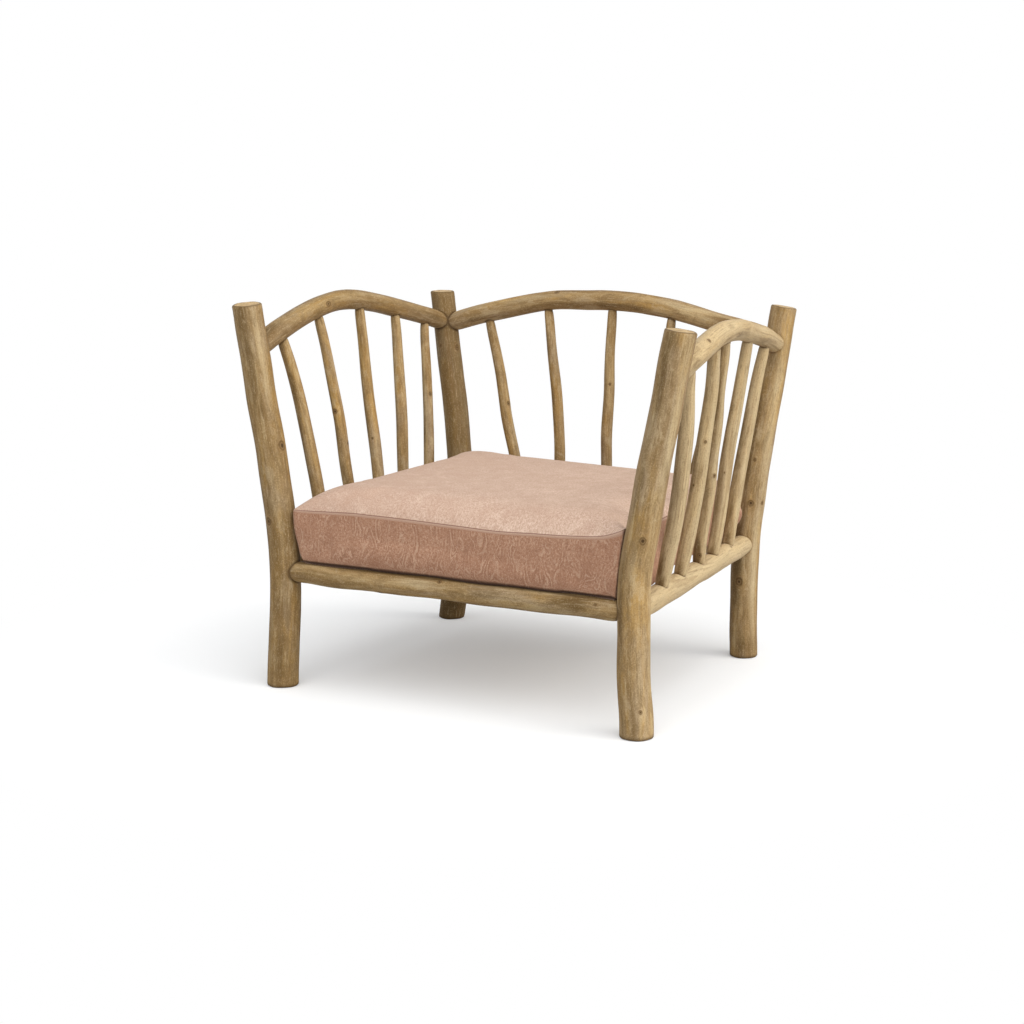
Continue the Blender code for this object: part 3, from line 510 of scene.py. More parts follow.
def cut_ends(co, points, normal, grain, knot, rim, cap, rng):
    """Eased edges and sawn faces at both ends of a post, with painted shade round the foot's lower edge."""
    turns = np.radians((30, 60, 90))
    shares = (0.88, 0.66, 0.42, 0.18)
    parts = []
    for end, ease in ((0, FOOT_EASE), (-1, TOP_EASE)):
        out = normal[end] * (-1 if end == 0 else 1)
        ring = co[end]
        centre = points[end]
        spoke = ring - centre
        reach = np.linalg.norm(spoke, axis=1)[:, None]
        uneven = ease * (1 + 0.35 * np.sin(5 * np.linspace(0, 2 * np.pi, len(ring)) + rng.uniform(0, 6)))[:, None]
        rows = [centre + spoke * (1 - uneven * (1 - np.cos(a)) / reach) - out * ease * (1 - np.sin(a)) for a in turns]
        rows += [centre + (rows[2] - centre) * s for s in shares]
        parts.append((rows, -out * ease))
    foot_rows, foot_in = parts[0]
    top_rows, top_in = parts[1]
    co = co.copy()
    blend = 4
    for k in range(blend):
        co[k] += foot_in * (1 - k / blend)
        co[-1 - k] += top_in * (1 - k / blend)
    co = np.concatenate([np.stack(foot_rows[::-1]), co, np.stack(top_rows)])
    extra = len(turns) + len(shares)

    def cap_grain(rows, end):
        place = grain[end]
        centre_row = np.zeros_like(place)
        centre_row[:, 2] = place[:, 2]
        made = []
        size = np.linalg.norm(rows[0] - points[end], axis=1)
        for row in rows:
            share = (np.linalg.norm(row - points[end], axis=1) / size)[:, None]
            made.append(centre_row + (place - centre_row) * share)
        return made

    grain = np.concatenate([np.stack(cap_grain(foot_rows, 0)[::-1]), grain, np.stack(cap_grain(top_rows, -1))])
    sides = co.shape[1]
    plain = np.full((extra, sides, 3), 20.0)
    knot = np.concatenate([plain, knot, plain])
    edge = np.array([0.45, 0.80, 0.90, 0.15, 0.0, 0, 0])[:, None] * np.ones((1, sides))
    # Painted shade where the foot meets the floor: its eased lower edge dark
    foot_shade = np.array([0.95, 1.0, 1.0, 0.85, 0.8, 0.8, 0.8])[:, None] * np.ones((1, sides))
    rim = rim.copy()
    # Painted shade fading up the foot's first rings, and a little dark near the top's edge
    for k in range(4):
        rim[k] = np.maximum(rim[k], 0.75 * (1 - k / 4))
        rim[-1 - k] = np.maximum(rim[-1 - k], 0.20 * (1 - k / 4))
    rim = np.concatenate([foot_shade[::-1], rim, edge])
    is_cap = np.array([0.0, 0.2, 0.8, 1, 1, 1, 1])[:, None] * np.ones((1, sides))
    cap = np.concatenate([is_cap[::-1], cap, is_cap])
    return co, grain, knot, rim, cap


# Paints


def start_paint(name):
    """A new material with its node tree and shader."""
    material = bpy.data.materials.new(name)
    material.use_nodes = True
    tree = material.node_tree
    return material, tree, tree.nodes["Principled BSDF"]


def put(tree, kind, inputs=None, **settings):
    """A node with settings and with inputs given as values or as sockets."""
    made = tree.nodes.new("ShaderNode" + kind)
    for key, value in settings.items():
        setattr(made, key, value)
    for key, value in (inputs or {}).items():
        if isinstance(value, bpy.types.NodeSocket):
            tree.links.new(value, made.inputs[key])
        else:
            made.inputs[key].default_value = value
    return made


def calc(tree, operation, a, b=0.0, c=0.0, clamp=False):
    """One number from up to three."""
    return put(tree, "Math", {0: a, 1: b, 2: c}, operation=operation, use_clamp=clamp).outputs[0]


def attribute(tree, name, vector=False):
    """A named attribute of the mesh."""
    made = put(tree, "Attribute", attribute_name=name)
    return made.outputs["Vector" if vector else "Fac"]


def stretched(tree, vector, scale):
    """A vector with each of its parts scaled."""
    return put(tree, "VectorMath", {0: vector, 1: scale}, operation="MULTIPLY").outputs[0]


def noise(tree, vector, scale, detail=2.0, roughness=0.5, distortion=0.0):
    """Noise along a vector whose parts are scaled."""
    inputs = {"Vector": stretched(tree, vector, scale), "Scale": 1.0, "Detail": detail,
              "Roughness": roughness, "Distortion": distortion}
    return put(tree, "TexNoise", inputs).outputs["Fac"]


def graded(tree, value, low, high, to_low=0.0, to_high=1.0):
    """A number taken smoothly from one range to another."""
    inputs = {"Value": value, "From Min": low, "From Max": high, "To Min": to_low, "To Max": to_high}
    return put(tree, "MapRange", inputs, interpolation_type="SMOOTHSTEP").outputs[0]


def ramp(tree, value, stops):
    """Colours along a number."""
    made = put(tree, "ValToRGB", {"Fac": value})
    band = made.color_ramp
    while len(band.elements) < len(stops):
        band.elements.new(0.5)
    for element, (place, colour) in zip(band.elements, stops):
        element.position = place
        element.color = (*colour, 1.0)
    return made.outputs["Color"]


def mixed(tree, share, a, b, blend="MIX"):
    """Two colours mixed."""
    made = put(tree, "Mix", data_type="RGBA", blend_type=blend)
    for key, value in (("Factor", share), ("A", a), ("B", b)):
        socket = next(s for s in made.inputs if s.name == key and s.type == ("VALUE" if key == "Factor" else "RGBA"))
        if isinstance(value, bpy.types.NodeSocket):
            tree.links.new(value, socket)
        else:
            socket.default_value = value if key == "Factor" else (*value, 1.0)
    return next(s for s in made.outputs if s.type == "RGBA")


def make_wood():
    """Peeled branch wood: blotches and streaks along the log, contour figure, knots, sawn ends; painted contact shade
    at joints, painted shade and highlights on the sides turned from and towards the light, and a tone that is partly
    painted light.
    """
    material, tree, shader = start_paint("branch_wood")
    grain = attribute(tree, "grain", True)
    knot = put(tree, "VectorMath", {0: attribute(tree, "knot", True)}, operation="LENGTH").outputs["Value"]
    rim = attribute(tree, "rim")
    cap = attribute(tree, "cap")
    tone = attribute(tree, "tone")
    dark = attribute(tree, "dark")
    pale = attribute(tree, "pale")
    broad = noise(tree, grain, (24, 24, 3.2), 4.0, 0.60, 0.30)
    grey = noise(tree, grain, (18, 18, 4.5), 4.0, 0.62, 0.35)
    gold = noise(tree, grain, (23, 23, 4.2), 3.0, 0.55, 0.30)
    fleck = noise(tree, grain, (62, 62, 13), 4.0, 0.66, 0.80)
    stain = noise(tree, grain, (34, 34, 6.5), 5.0, 0.62, 0.55)
    band = noise(tree, grain, (55, 55, 2.2), 3.0, 0.55, 0.15)
    streak = noise(tree, grain, (150, 150, 4.0), 3.0, 0.60, 0.10)
    fibre = noise(tree, grain, (430, 430, 9), 3.0, 0.60)
    speckle = noise(tree, grain, (480, 480, 360), 2.0, 0.60)
    stroke = noise(tree, grain, (240, 240, 26), 3.0, 0.62, 0.4)
    patch = noise(tree, grain, (40, 40, 20), 5.0, 0.70, 0.7)
    field = noise(tree, grain, (17, 17, 1.5), 1.5, 0.45)
    lines = calc(tree, "SINE", calc(tree, "MULTIPLY", field, 95.0))
    figure = graded(tree, lines, 0.20, 1.0)
    where = graded(tree, noise(tree, grain, (12, 12, 2.4), 1.0), 0.46, 0.62)
    lined = calc(tree, "MULTIPLY", figure, where)
    sides = ramp(tree, broad, ((0.32, (0.215, 0.130, 0.052)), (0.45, (0.310, 0.197, 0.084)),
                               (0.55, (0.385, 0.254, 0.115)), (0.68, (0.490, 0.350, 0.177))))
    sides = mixed(tree, graded(tree, gold, 0.48, 0.64, 0.0, 0.80), sides, (0.430, 0.256, 0.078))
    sides = mixed(tree, graded(tree, grey, 0.48, 0.64, 0.0, 0.65), sides, (0.345, 0.268, 0.182))
    sides = mixed(tree, graded(tree, band, 0.50, 0.64, 0.0, 0.55), sides, (0.205, 0.120, 0.044))
    sides = mixed(tree, graded(tree, band, 0.46, 0.34, 0.0, 0.48), sides, (0.520, 0.389, 0.207))
    sides = mixed(tree, graded(tree, fleck, 0.540, 0.595, 0.0, 0.28), sides, (0.185, 0.116, 0.042))
    sides = mixed(tree, graded(tree, fleck, 0.445, 0.390, 0.0, 0.24), sides, (0.500, 0.382, 0.210))
    sides = mixed(tree, graded(tree, streak, 0.50, 0.66, 0.0, 0.26), sides, (0.205, 0.120, 0.044))
    sides = mixed(tree, graded(tree, streak, 0.45, 0.32, 0.0, 0.18), sides, (0.520, 0.389, 0.207))
    sides = mixed(tree, graded(tree, patch, 0.51, 0.62, 0.0, 0.50), sides, (0.215, 0.138, 0.066))
    sides = mixed(tree, graded(tree, patch, 0.47, 0.37, 0.0, 0.42), sides, (0.510, 0.395, 0.239))
    # Tone, partly painted light: paler towards the lamps on the right, darker as painted shade on the left
    sides = mixed(tree, graded(tree, tone, 0.0, 0.8, 0.0, 0.72), sides, (0.600, 0.466, 0.278))
    sides = mixed(tree, graded(tree, tone, 0.0, -0.8, 0.0, 0.85), sides, (0.105, 0.063, 0.023))
    edge = calc(tree, "MULTIPLY_ADD", calc(tree, "ADD", fleck, stain), 1.8, -0.8)
    # Scars, and painted highlights on the sides towards the light
    scar_and_highlight = graded(tree, calc(tree, "MULTIPLY", pale, edge), 0.05, 0.95, 0.0, 0.66)
    sides = mixed(tree, scar_and_highlight, sides, (0.560, 0.443, 0.268))
    sides = mixed(tree, graded(tree, stain, 0.575, 0.680, 0.0, 0.40), sides, (0.150, 0.089, 0.032))
    # Stains, and painted shade on the sides turned from the light
    stain_and_shade = graded(tree, calc(tree, "MULTIPLY", dark, edge), 0.05, 0.95, 0.0, 0.84)
    sides = mixed(tree, stain_and_shade, sides, (0.110, 0.064, 0.023))
    sides = mixed(tree, calc(tree, "MULTIPLY", lined, 0.36), sides, (0.195, 0.110, 0.041))
    sides = mixed(tree, graded(tree, fibre, 0.42, 0.64, 0.0, 0.18), sides, (0.150, 0.095, 0.036))
    sides = mixed(tree, graded(tree, stroke, 0.56, 0.66, 0.0, 0.38), sides, (0.140, 0.084, 0.032))
    sides = mixed(tree, graded(tree, stroke, 0.42, 0.34, 0.0, 0.26), sides, (0.540, 0.420, 0.255))
    sides = mixed(tree, graded(tree, speckle, 0.50, 0.70, 0.0, 0.40), sides, (0.165, 0.103, 0.039))
    sides = mixed(tree, graded(tree, speckle, 0.46, 0.30, 0.0, 0.32), sides, (0.560, 0.433, 0.250))
    wobble = calc(tree, "MULTIPLY_ADD", noise(tree, grain, (85, 85, 45), 3.0), 1.3, -0.65)
    out = calc(tree, "ADD", knot, wobble)
    sides = mixed(tree, graded(tree, out, 2.4, 0.9, 0.0, 0.30), sides, (0.250, 0.148, 0.060))
    sides = mixed(tree, graded(tree, out, 1.20, 0.90, 0.0, 0.66), sides, (0.075, 0.040, 0.014))
    sides = mixed(tree, graded(tree, out, 0.80, 0.50, 0.0, 0.50), sides, (0.250, 0.154, 0.070))
    sides = mixed(tree, graded(tree, out, 0.44, 0.20, 0.0, 0.85), sides, (0.045, 0.025, 0.010))
    rings = noise(tree, grain, (70, 70, 8), 4.0, 0.6)
    ends = ramp(tree, rings, ((0.32, (0.300, 0.197, 0.089)), (0.52, (0.440, 0.307, 0.153)),
                              (0.68, (0.540, 0.394, 0.219))))
    colour = mixed(tree, cap, sides, ends)
    # Painted contact shade at joints and on the front rail under the cushion, painted shade round the feet, and a dark
    # ring at a post's sawn top
    colour = mixed(tree, graded(tree, rim, 0.10, 1.0, 0.0, 0.72), colour, (0.062, 0.033, 0.012))
    tree.links.new(colour, shader.inputs["Base Color"])
    rough = calc(tree, "ADD", calc(tree, "MULTIPLY", broad, 0.26), 0.42)
    tree.links.new(rough, shader.inputs["Roughness"])
    height = calc(tree, "ADD", calc(tree, "MULTIPLY", fibre, 0.40), calc(tree, "MULTIPLY", streak, 0.9))
    height = calc(tree, "SUBTRACT", height, calc(tree, "MULTIPLY", lined, 0.30))
    height = calc(tree, "SUBTRACT", height, graded(tree, out, 1.2, 0.7, 0.0, 0.9))
    bump = put(tree, "Bump", {"Strength": 0.55, "Distance": 0.0012, "Height": height})
    tree.links.new(bump.outputs[0], shader.inputs["Normal"])
    shader.inputs["Specular IOR Level"].default_value = 0.10
    return material


def make_deck_wood(name, scale):
    """Plain sawn softwood, with its grain along one axis."""
    material, tree, shader = start_paint(name)
    place = put(tree, "TexCoord").outputs["Object"]
    field = noise(tree, place, scale, 3.0, 0.5, 0.3)
    lines = calc(tree, "SINE", calc(tree, "MULTIPLY", field, 60.0))
    fibre = noise(tree, place, tuple(12 * s for s in scale), 3.0, 0.6)
    colour = ramp(tree, field, ((0.35, (0.42, 0.30, 0.17)), (0.55, (0.58, 0.44, 0.27)), (0.70, (0.66, 0.53, 0.35))))
    colour = mixed(tree, graded(tree, lines, 0.3, 1.0, 0.0, 0.30), colour, (0.36, 0.23, 0.11))
    colour = mixed(tree, graded(tree, fibre, 0.42, 0.64, 0.0, 0.22), colour, (0.30, 0.20, 0.11))
    tree.links.new(colour, shader.inputs["Base Color"])
    tree.links.new(calc(tree, "MULTIPLY_ADD", fibre, 0.25, 0.55), shader.inputs["Roughness"])
    bump = put(tree, "Bump", {"Strength": 0.5, "Distance": 0.0008, "Height": fibre})
    tree.links.new(bump.outputs[0], shader.inputs["Normal"])
    shader.inputs["Specular IOR Level"].default_value = 0.3
    return material


def make_cover():
    """Short-pile cover: a pale brushed top painted darker towards its left as shade, and darker sides with fine wavy
    lines in the pile; painted shade in the top seam's crease and along the lower edge.
    """
    material, tree, shader = start_paint("cover_pile")
    cloth = attribute(tree, "cloth", True)
    side = attribute(tree, "side")
    seam = attribute(tree, "seam")
    hem = attribute(tree, "hem")
    pile = noise(tree, cloth, (520, 380, 520), 2.0, 0.6)
    nap = noise(tree, cloth, (270, 170, 270), 3.0, 0.65)
    mottle = noise(tree, cloth, (38, 24, 38), 4.0, 0.62)
    cloud = noise(tree, cloth, (6, 8, 6), 3.0, 0.55)
    parts = put(tree, "SeparateXYZ", {0: cloth})
    top = ramp(tree, nap, ((0.34, (0.480, 0.328, 0.246)), (0.50, (0.612, 0.446, 0.351)),
                           (0.66, (0.700, 0.540, 0.440))))
    # Painted shade: the top darker towards its left, away from the light
    top = mixed(tree, graded(tree, parts.outputs[0], 0.35, -0.45, 0.0, 0.54), top, (0.365, 0.243, 0.183))
    brush = noise(tree, cloth, (120, 85, 120), 3.0, 0.62)
    patch = noise(tree, cloth, (26, 24, 26), 4.0, 0.62, 0.4)
    top = mixed(tree, graded(tree, brush, 0.46, 0.64, 0.0, 0.46), top, (0.460, 0.305, 0.226))
    top = mixed(tree, graded(tree, patch, 0.46, 0.64, 0.0, 0.42), top, (0.450, 0.296, 0.218))
    top = mixed(tree, graded(tree, patch, 0.45, 0.31, 0.0, 0.42), top, (0.680, 0.515, 0.412))
    top = mixed(tree, graded(tree, cloud, 0.42, 0.64, 0.0, 0.36), top, (0.500, 0.345, 0.260))
    swirl = noise(tree, cloth, (36, 15, 36), 1.5, 0.5, 0.7)
    bend = noise(tree, cloth, (9, 7, 9), 2.0, 0.5)
    wave = calc(tree, "ADD", calc(tree, "MULTIPLY", parts.outputs[0], 60.0), calc(tree, "MULTIPLY", swirl, 7.0))
    wave = calc(tree, "ADD", wave, calc(tree, "MULTIPLY", bend, 5.0))
    lines = calc(tree, "SINE", calc(tree, "MULTIPLY", wave, 2 * math.pi))
    here = graded(tree, noise(tree, cloth, (42, 18, 42), 3.0, 0.6), 0.40, 0.64)
    boxing = ramp(tree, nap, ((0.34, (0.290, 0.146, 0.090)), (0.50, (0.390, 0.215, 0.136)),
                              (0.66, (0.480, 0.290, 0.196))))
    boxing = mixed(tree, graded(tree, cloud, 0.42, 0.64, 0.0, 0.30), boxing, (0.300, 0.150, 0.090))
    boxing = mixed(tree, graded(tree, mottle, 0.45, 0.64, 0.0, 0.52), boxing, (0.290, 0.143, 0.086))
    pale = calc(tree, "MULTIPLY", graded(tree, lines, 0.30, 1.0), calc(tree, "MULTIPLY_ADD", here, 0.36, 0.04))
    boxing = mixed(tree, pale, boxing, (0.620, 0.445, 0.320))
    shade = calc(tree, "MULTIPLY", graded(tree, lines, -0.40, -1.0), calc(tree, "MULTIPLY_ADD", here, 0.30, 0.04))
    boxing = mixed(tree, shade, boxing, (0.200, 0.095, 0.058))
    boxing = mixed(tree, graded(tree, seam, 0.013, 0.002, 0.0, 0.30), boxing, (0.290, 0.148, 0.094))
    colour = mixed(tree, side, top, boxing)
    colour = mixed(tree, graded(tree, pile, 0.46, 0.66, 0.0, 0.40), colour, (0.270, 0.145, 0.098))
    colour = mixed(tree, graded(tree, pile, 0.44, 0.28, 0.0, 0.34), colour, (0.740, 0.590, 0.490))
    # Painted shade in the crease of the top seam
    colour = mixed(tree, graded(tree, seam, 0.0014, 0.0004, 0.0, 0.75), colour, (0.170, 0.075, 0.050))
    # Painted contact shade along the cushion's lower edge and the border of its underside, where it sits on the frame
    colour = mixed(tree, graded(tree, hem, 0.0050, 0.0015, 0.0, 0.94), colour, (0.030, 0.014, 0.009))
    tree.links.new(colour, shader.inputs["Base Color"])
    tree.links.new(calc(tree, "MULTIPLY_ADD", pile, 0.20, 0.78), shader.inputs["Roughness"])
    height = calc(tree, "ADD", calc(tree, "MULTIPLY", pile, 0.4), calc(tree, "MULTIPLY", nap, 0.7))
    height = calc(tree, "ADD", height, calc(tree, "MULTIPLY", mottle, 0.25))
    height = calc(tree, "ADD", height, calc(tree, "MULTIPLY", calc(tree, "MULTIPLY", pale, side), 0.8))
    bump = put(tree, "Bump", {"Strength": 0.32, "Distance": 0.0012, "Height": height})
    tree.links.new(bump.outputs[0], shader.inputs["Normal"])
    shader.inputs["Specular IOR Level"].default_value = 0.05
    shader.inputs["Sheen Weight"].default_value = 0.20
    shader.inputs["Sheen Roughness"].default_value = 0.45
    shader.inputs["Sheen Tint"].default_value = (0.95, 0.80, 0.70, 1.0)
    return material


def make_zip():
    """Woven tape with a closed coil down its middle."""
    material, tree, shader = start_paint("zip_tape")
    tape = attribute(tree, "tape", True)
    parts = put(tree, "SeparateXYZ", {0: tape})
    across = calc(tree, "ABSOLUTE", parts.outputs[1])
    tooth = calc(tree, "SINE", calc(tree, "MULTIPLY", parts.outputs[0], 2 * math.pi / 0.0016))
    weave = noise(tree, tape, (1500, 700, 700), 2.0)
    coil = graded(tree, across, 0.0026, 0.0018)
    colour = ramp(tree, weave, ((0.35, (0.190, 0.090, 0.060)), (0.65, (0.300, 0.160, 0.110))))
    teeth = ramp(tree, calc(tree, "MULTIPLY_ADD", tooth, 0.5, 0.5), ((0.2, (0.085, 0.040, 0.028)), (0.8, (0.260, 0.140, 0.100))))
    colour = mixed(tree, coil, colour, teeth)
    tree.links.new(colour, shader.inputs["Base Color"])
    tree.links.new(calc(tree, "MULTIPLY_ADD", coil, -0.35, 0.85), shader.inputs["Roughness"])
    height = calc(tree, "ADD", calc(tree, "MULTIPLY", coil, calc(tree, "MULTIPLY_ADD", tooth, 0.4, 0.8)),
                  calc(tree, "MULTIPLY", weave, 0.3))
    bump = put(tree, "Bump", {"Strength": 0.6, "Distance": 0.0006, "Height": height})
    tree.links.new(bump.outputs[0], shader.inputs["Normal"])
    return material


# Cushion


def cushion_sides():
    """The cushion's outline as four sides of even points, corner to corner, each drawn in a little."""
    corners = ((-CUSHION_FRONT_LEFT, CUSHION_FRONT), (CUSHION_FRONT_RIGHT, CUSHION_FRONT),
               (CUSHION_RIGHT_BACK, CUSHION_BACK), (-CUSHION_LEFT_BACK, CUSHION_BACK))
    corners = [np.array(c) for c in corners]
    arcs = []
    for k in range(4):
        before = corners[k - 1] - corners[k]
        after = corners[(k + 1) % 4] - corners[k]
        before = before / np.linalg.norm(before)
        after = after / np.linalg.norm(after)
        bisector = (before + after) / np.linalg.norm(before + after)
        half = math.acos(np.clip(before @ after, -1, 1)) / 2
        middle = corners[k] + bisector * CUSHION_CORNER / math.sin(half)
        start = corners[k] + before * CUSHION_CORNER / math.tan(half) - middle
        end = corners[k] + after * CUSHION_CORNER / math.tan(half) - middle
        steps = np.linspace(0, 1, 9)[:, None]
        bow = start * (1 - steps) + end * steps
        arcs.append(middle + bow / np.linalg.norm(bow, axis=1)[:, None] * CUSHION_CORNER)
    sides = []
    for k, count in enumerate((CUSHION_COLUMNS, CUSHION_ROWS, CUSHION_COLUMNS, CUSHION_ROWS)):
        line = np.concatenate([arcs[k][4:], arcs[(k + 1) % 4][:5]])
        run = np.concatenate([[0], np.cumsum(np.linalg.norm(np.diff(line, axis=0), axis=1))])
        at = np.linspace(0, run[-1], count + 1)
        side = np.stack([np.interp(at, run, line[:, 0]), np.interp(at, run, line[:, 1])], -1)
        chord = line[-1] - line[0]
        inward = np.array([-chord[1], chord[0]]) / np.linalg.norm(chord)
        sides.append(side + inward * (CUSHION_DRAW_IN * np.sin(np.pi * at / run[-1]))[:, None])
    return sides


def cushion_loop(sides):
    """The four sides as one closed loop, its outward direction and its running length."""
    loop = np.concatenate([side[:-1] for side in sides])
    ahead = np.roll(loop, -1, axis=0) - np.roll(loop, 1, axis=0)
    out = np.stack([ahead[:, 1], -ahead[:, 0]], -1)
    out /= np.linalg.norm(out, axis=1)[:, None]
    run = np.concatenate([[0], np.cumsum(np.linalg.norm(np.diff(loop, axis=0), axis=1))])
    return loop, out, run


def patch_between(sides):
    """Grid of points that fills the four sides smoothly."""
    front, right, back, left = sides[0], sides[1], sides[2][::-1], sides[3][::-1]
    u = np.linspace(0, 1, len(front))[None, :, None]
    v = np.linspace(0, 1, len(right))[:, None, None]
    across = front[None] * (1 - v) + back[None] * v
    deep = left[:, None] * (1 - u) + right[:, None] * u
    corner = (front[0] * (1 - u) * (1 - v) + front[-1] * u * (1 - v) + back[0] * (1 - u) * v + back[-1] * u * v)
    return across + deep - corner


def edge_walk(columns, rows):
    """Grid places (row, column) along the border, in the order of the loop."""
    walk = [(0, i) for i in range(columns)]
    walk += [(j, columns) for j in range(rows)]
    walk += [(rows, columns - i) for i in range(columns)]
    walk += [(rows - j, 0) for j in range(rows)]
    return walk


def seam_lift(xy):
    """How far the seam stands above or below its plain height, at the front edge and its corners."""
    lift = through(FRONT_SEAM, np.clip(xy[..., 0], -0.39, 0.41)) - CUSHION_SEAM
    return lift * np.exp(-((xy[..., 1] - CUSHION_FRONT) / 0.12) ** 2)


def hem_lift(xy):
    """How far the lower edge stands above the underside, at the front."""
    lift = through(FRONT_HEM, np.clip(xy[..., 0], -0.39, 0.394)) - CUSHION_BOTTOM
    return lift * np.exp(-((xy[..., 1] - CUSHION_FRONT) / 0.02) ** 2)


def side_sag(xy):
    """How far the right side's lower edge hangs down beside the deck, near the front."""
    near = np.exp(-((xy[..., 1] + 0.19) / 0.06) ** 2)
    return CUSHION_SIDE_SAG * near * np.clip((xy[..., 0] - 0.325) / 0.045, 0, 1)


def cushion_mesh():
    """The closed cushion before it swells: points, faces and attributes."""
    sides = cushion_sides()
    loop, out, run = cushion_loop(sides)
    low = CUSHION_BOTTOM
    seam = CUSHION_SEAM
    columns, rows = CUSHION_COLUMNS, CUSHION_ROWS
    u = np.linspace(-1, 1, columns + 1)[None]
    v = np.linspace(-1, 1, rows + 1)[:, None]
    flare = np.zeros_like(loop)
    for corner, size in ((-CUSHION_FRONT_LEFT, -CUSHION_LEFT_FLARE), (CUSHION_FRONT_RIGHT, CUSHION_RIGHT_FLARE)):
        away = np.linalg.norm(loop - np.array([corner, CUSHION_FRONT]), axis=1)
        flare[:, 0] += size * np.exp(-(away / 0.06) ** 2)
    back_corner = np.exp(-((loop[:, 1] - 0.255) / 0.028) ** 2) * (loop[:, 0] > 0.3)
    points, attribute_side, attribute_seam, attribute_hem, cloth = [], [], [], [], []

    def add(xy, z, is_side, from_seam, from_hem, at):
        start = sum(len(p) for p in points)
        xy = xy.reshape(-1, 2)
        points.append(np.column_stack([xy, np.broadcast_to(z, len(xy)).reshape(-1)]))
        attribute_side.append(np.full(len(xy), float(is_side)))
        attribute_seam.append(np.broadcast_to(from_seam, len(xy)).astype(float))
        attribute_hem.append(np.broadcast_to(from_hem, len(xy)).astype(float))
        cloth.append(at.reshape(-1, 3))
        return start

    flared = [s.copy() for s in sides]
    at = 0
    for side in flared:
        side[:-1] += flare[at:at + len(side) - 1]
        at += len(side) - 1
    for k in range(4):
        flared[k][-1] = flared[(k + 1) % 4][0]
    top = patch_between(flared)
    fall = CUSHION_BACK_FALL * np.clip(top[..., 0] + 0.30, 0, None) * np.clip((top[..., 1] + 0.1) / 0.3, 0, 1) ** 2
    across = 1 - np.abs(u) ** np.where(u < 0, CUSHION_LEFT_FULLNESS, CUSHION_FULLNESS)
    deep = 1 - np.abs(v) ** np.where(v < 0, CUSHION_FRONT_FULLNESS, CUSHION_FULLNESS)
    height = seam + seam_lift(top) + (CUSHION_CROWN - fall) * across * deep
    ear = np.exp(-(np.hypot(top[..., 0] - 0.40, top[..., 1] - CUSHION_FRONT) / 0.09) ** 2)[1:-1, 1:-1]
    for _ in range(60):
        around = (height[:-2, 1:-1] + height[2:, 1:-1] + height[1:-1, :-2] + height[1:-1, 2:]) / 4
        height[1:-1, 1:-1] += ear * (around - height[1:-1, 1:-1])
    flat_at = np.column_stack([top.reshape(-1, 2), np.zeros(top.shape[0] * top.shape[1])])
    width = CUSHION_FRONT_LEFT + CUSHION_FRONT_RIGHT
    depth = CUSHION_BACK - CUSHION_FRONT
    from_edge = np.minimum((1 - np.abs(u)) * width / 2, (1 - np.abs(v)) * depth / 2)
    top_start = add(top, height.ravel(), 0, from_edge.ravel(), 0.1, flat_at)
    walk = edge_walk(columns, rows)
    grid = np.arange((columns + 1) * (rows + 1)).reshape(rows + 1, columns + 1)
    rim = top_start + np.array([grid[place] for place in walk])
    rows_of = [rim]
    sag = side_sag(loop)
    rounding = hem_lift(loop) + CUSHION_UNDER_EDGE
    tuck = out * np.minimum(rounding, 0.0105)[:, None]
    tuck[:, 0] -= 0.42 * hem_lift(loop) * (loop[:, 0] < 0)
    # Away from the front the hem value is raised, so the painted shade along the lower edge is thinner there
    hidden = np.clip((loop[:, 1] - CUSHION_FRONT - 0.01) / 0.02, 0, 1) * 0.0025
    for k in range(1, BOXING_ROWS + 1):
        rise = 1 - k / BOXING_ROWS
        z = low + rounding + (seam + seam_lift(loop) - low - rounding) * rise
        bulge = 0.003 + CUSHION_BACK_BULGE * back_corner
        xy = loop + flare * rise ** 0.7 + out * (bulge * math.sin(math.pi * rise))[:, None]
        at = np.column_stack([run, z, np.full(len(run), 3.0)])
        start = add(xy, z - (1 - rise) * sag, 1, (1 - rise) * (seam - low), z - low + hidden, at)
        rows_of.append(np.arange(start, start + len(loop)))
    for k in range(1, EDGE_ROWS + 1):
        turn = math.pi / 2 * k / EDGE_ROWS
        z = low + rounding * (1 - math.sin(turn))
        xy = loop - tuck * (1 - math.cos(turn))
        at = np.column_stack([run, z - 0.01 * k, np.full(len(run), 3.0)])
        if k < EDGE_ROWS:
            start = add(xy, z - sag, 1, 0.1, z - low + hidden, at)
            rows_of.append(np.arange(start, start + len(loop)))
    inner = loop - tuck
    cuts = np.cumsum([0, columns, rows, columns, rows])
    closed = np.concatenate([inner, inner[:1]])
    under = patch_between([closed[cuts[k]:cuts[k + 1] + 1] for k in range(4)])
    under_at = np.column_stack([under.reshape(-1, 2), np.full(under.shape[0] * under.shape[1], 5.0)])
    under_start = add(under, low - side_sag(under).ravel(), 0, 0.1, from_edge.ravel() + 0.0025, under_at)
    rows_of.append(under_start + np.array([grid[place] for place in walk]))
    faces = []
    cells = np.stack([grid[:-1, :-1], grid[:-1, 1:], grid[1:, 1:], grid[1:, :-1]], -1).reshape(-1, 4)
    faces += (cells + top_start).tolist()
    faces += (cells[:, ::-1] + under_start).tolist()
    for upper, lower in zip(rows_of, rows_of[1:]):
        faces += np.stack([lower, np.roll(lower, -1), np.roll(upper, -1), upper], -1).tolist()
    attributes = {"side": np.concatenate(attribute_side), "seam": np.concatenate(attribute_seam),
                  "hem": np.concatenate(attribute_hem), "cloth": np.concatenate(cloth)}
    return np.concatenate(points), faces, attributes, rim, under_start


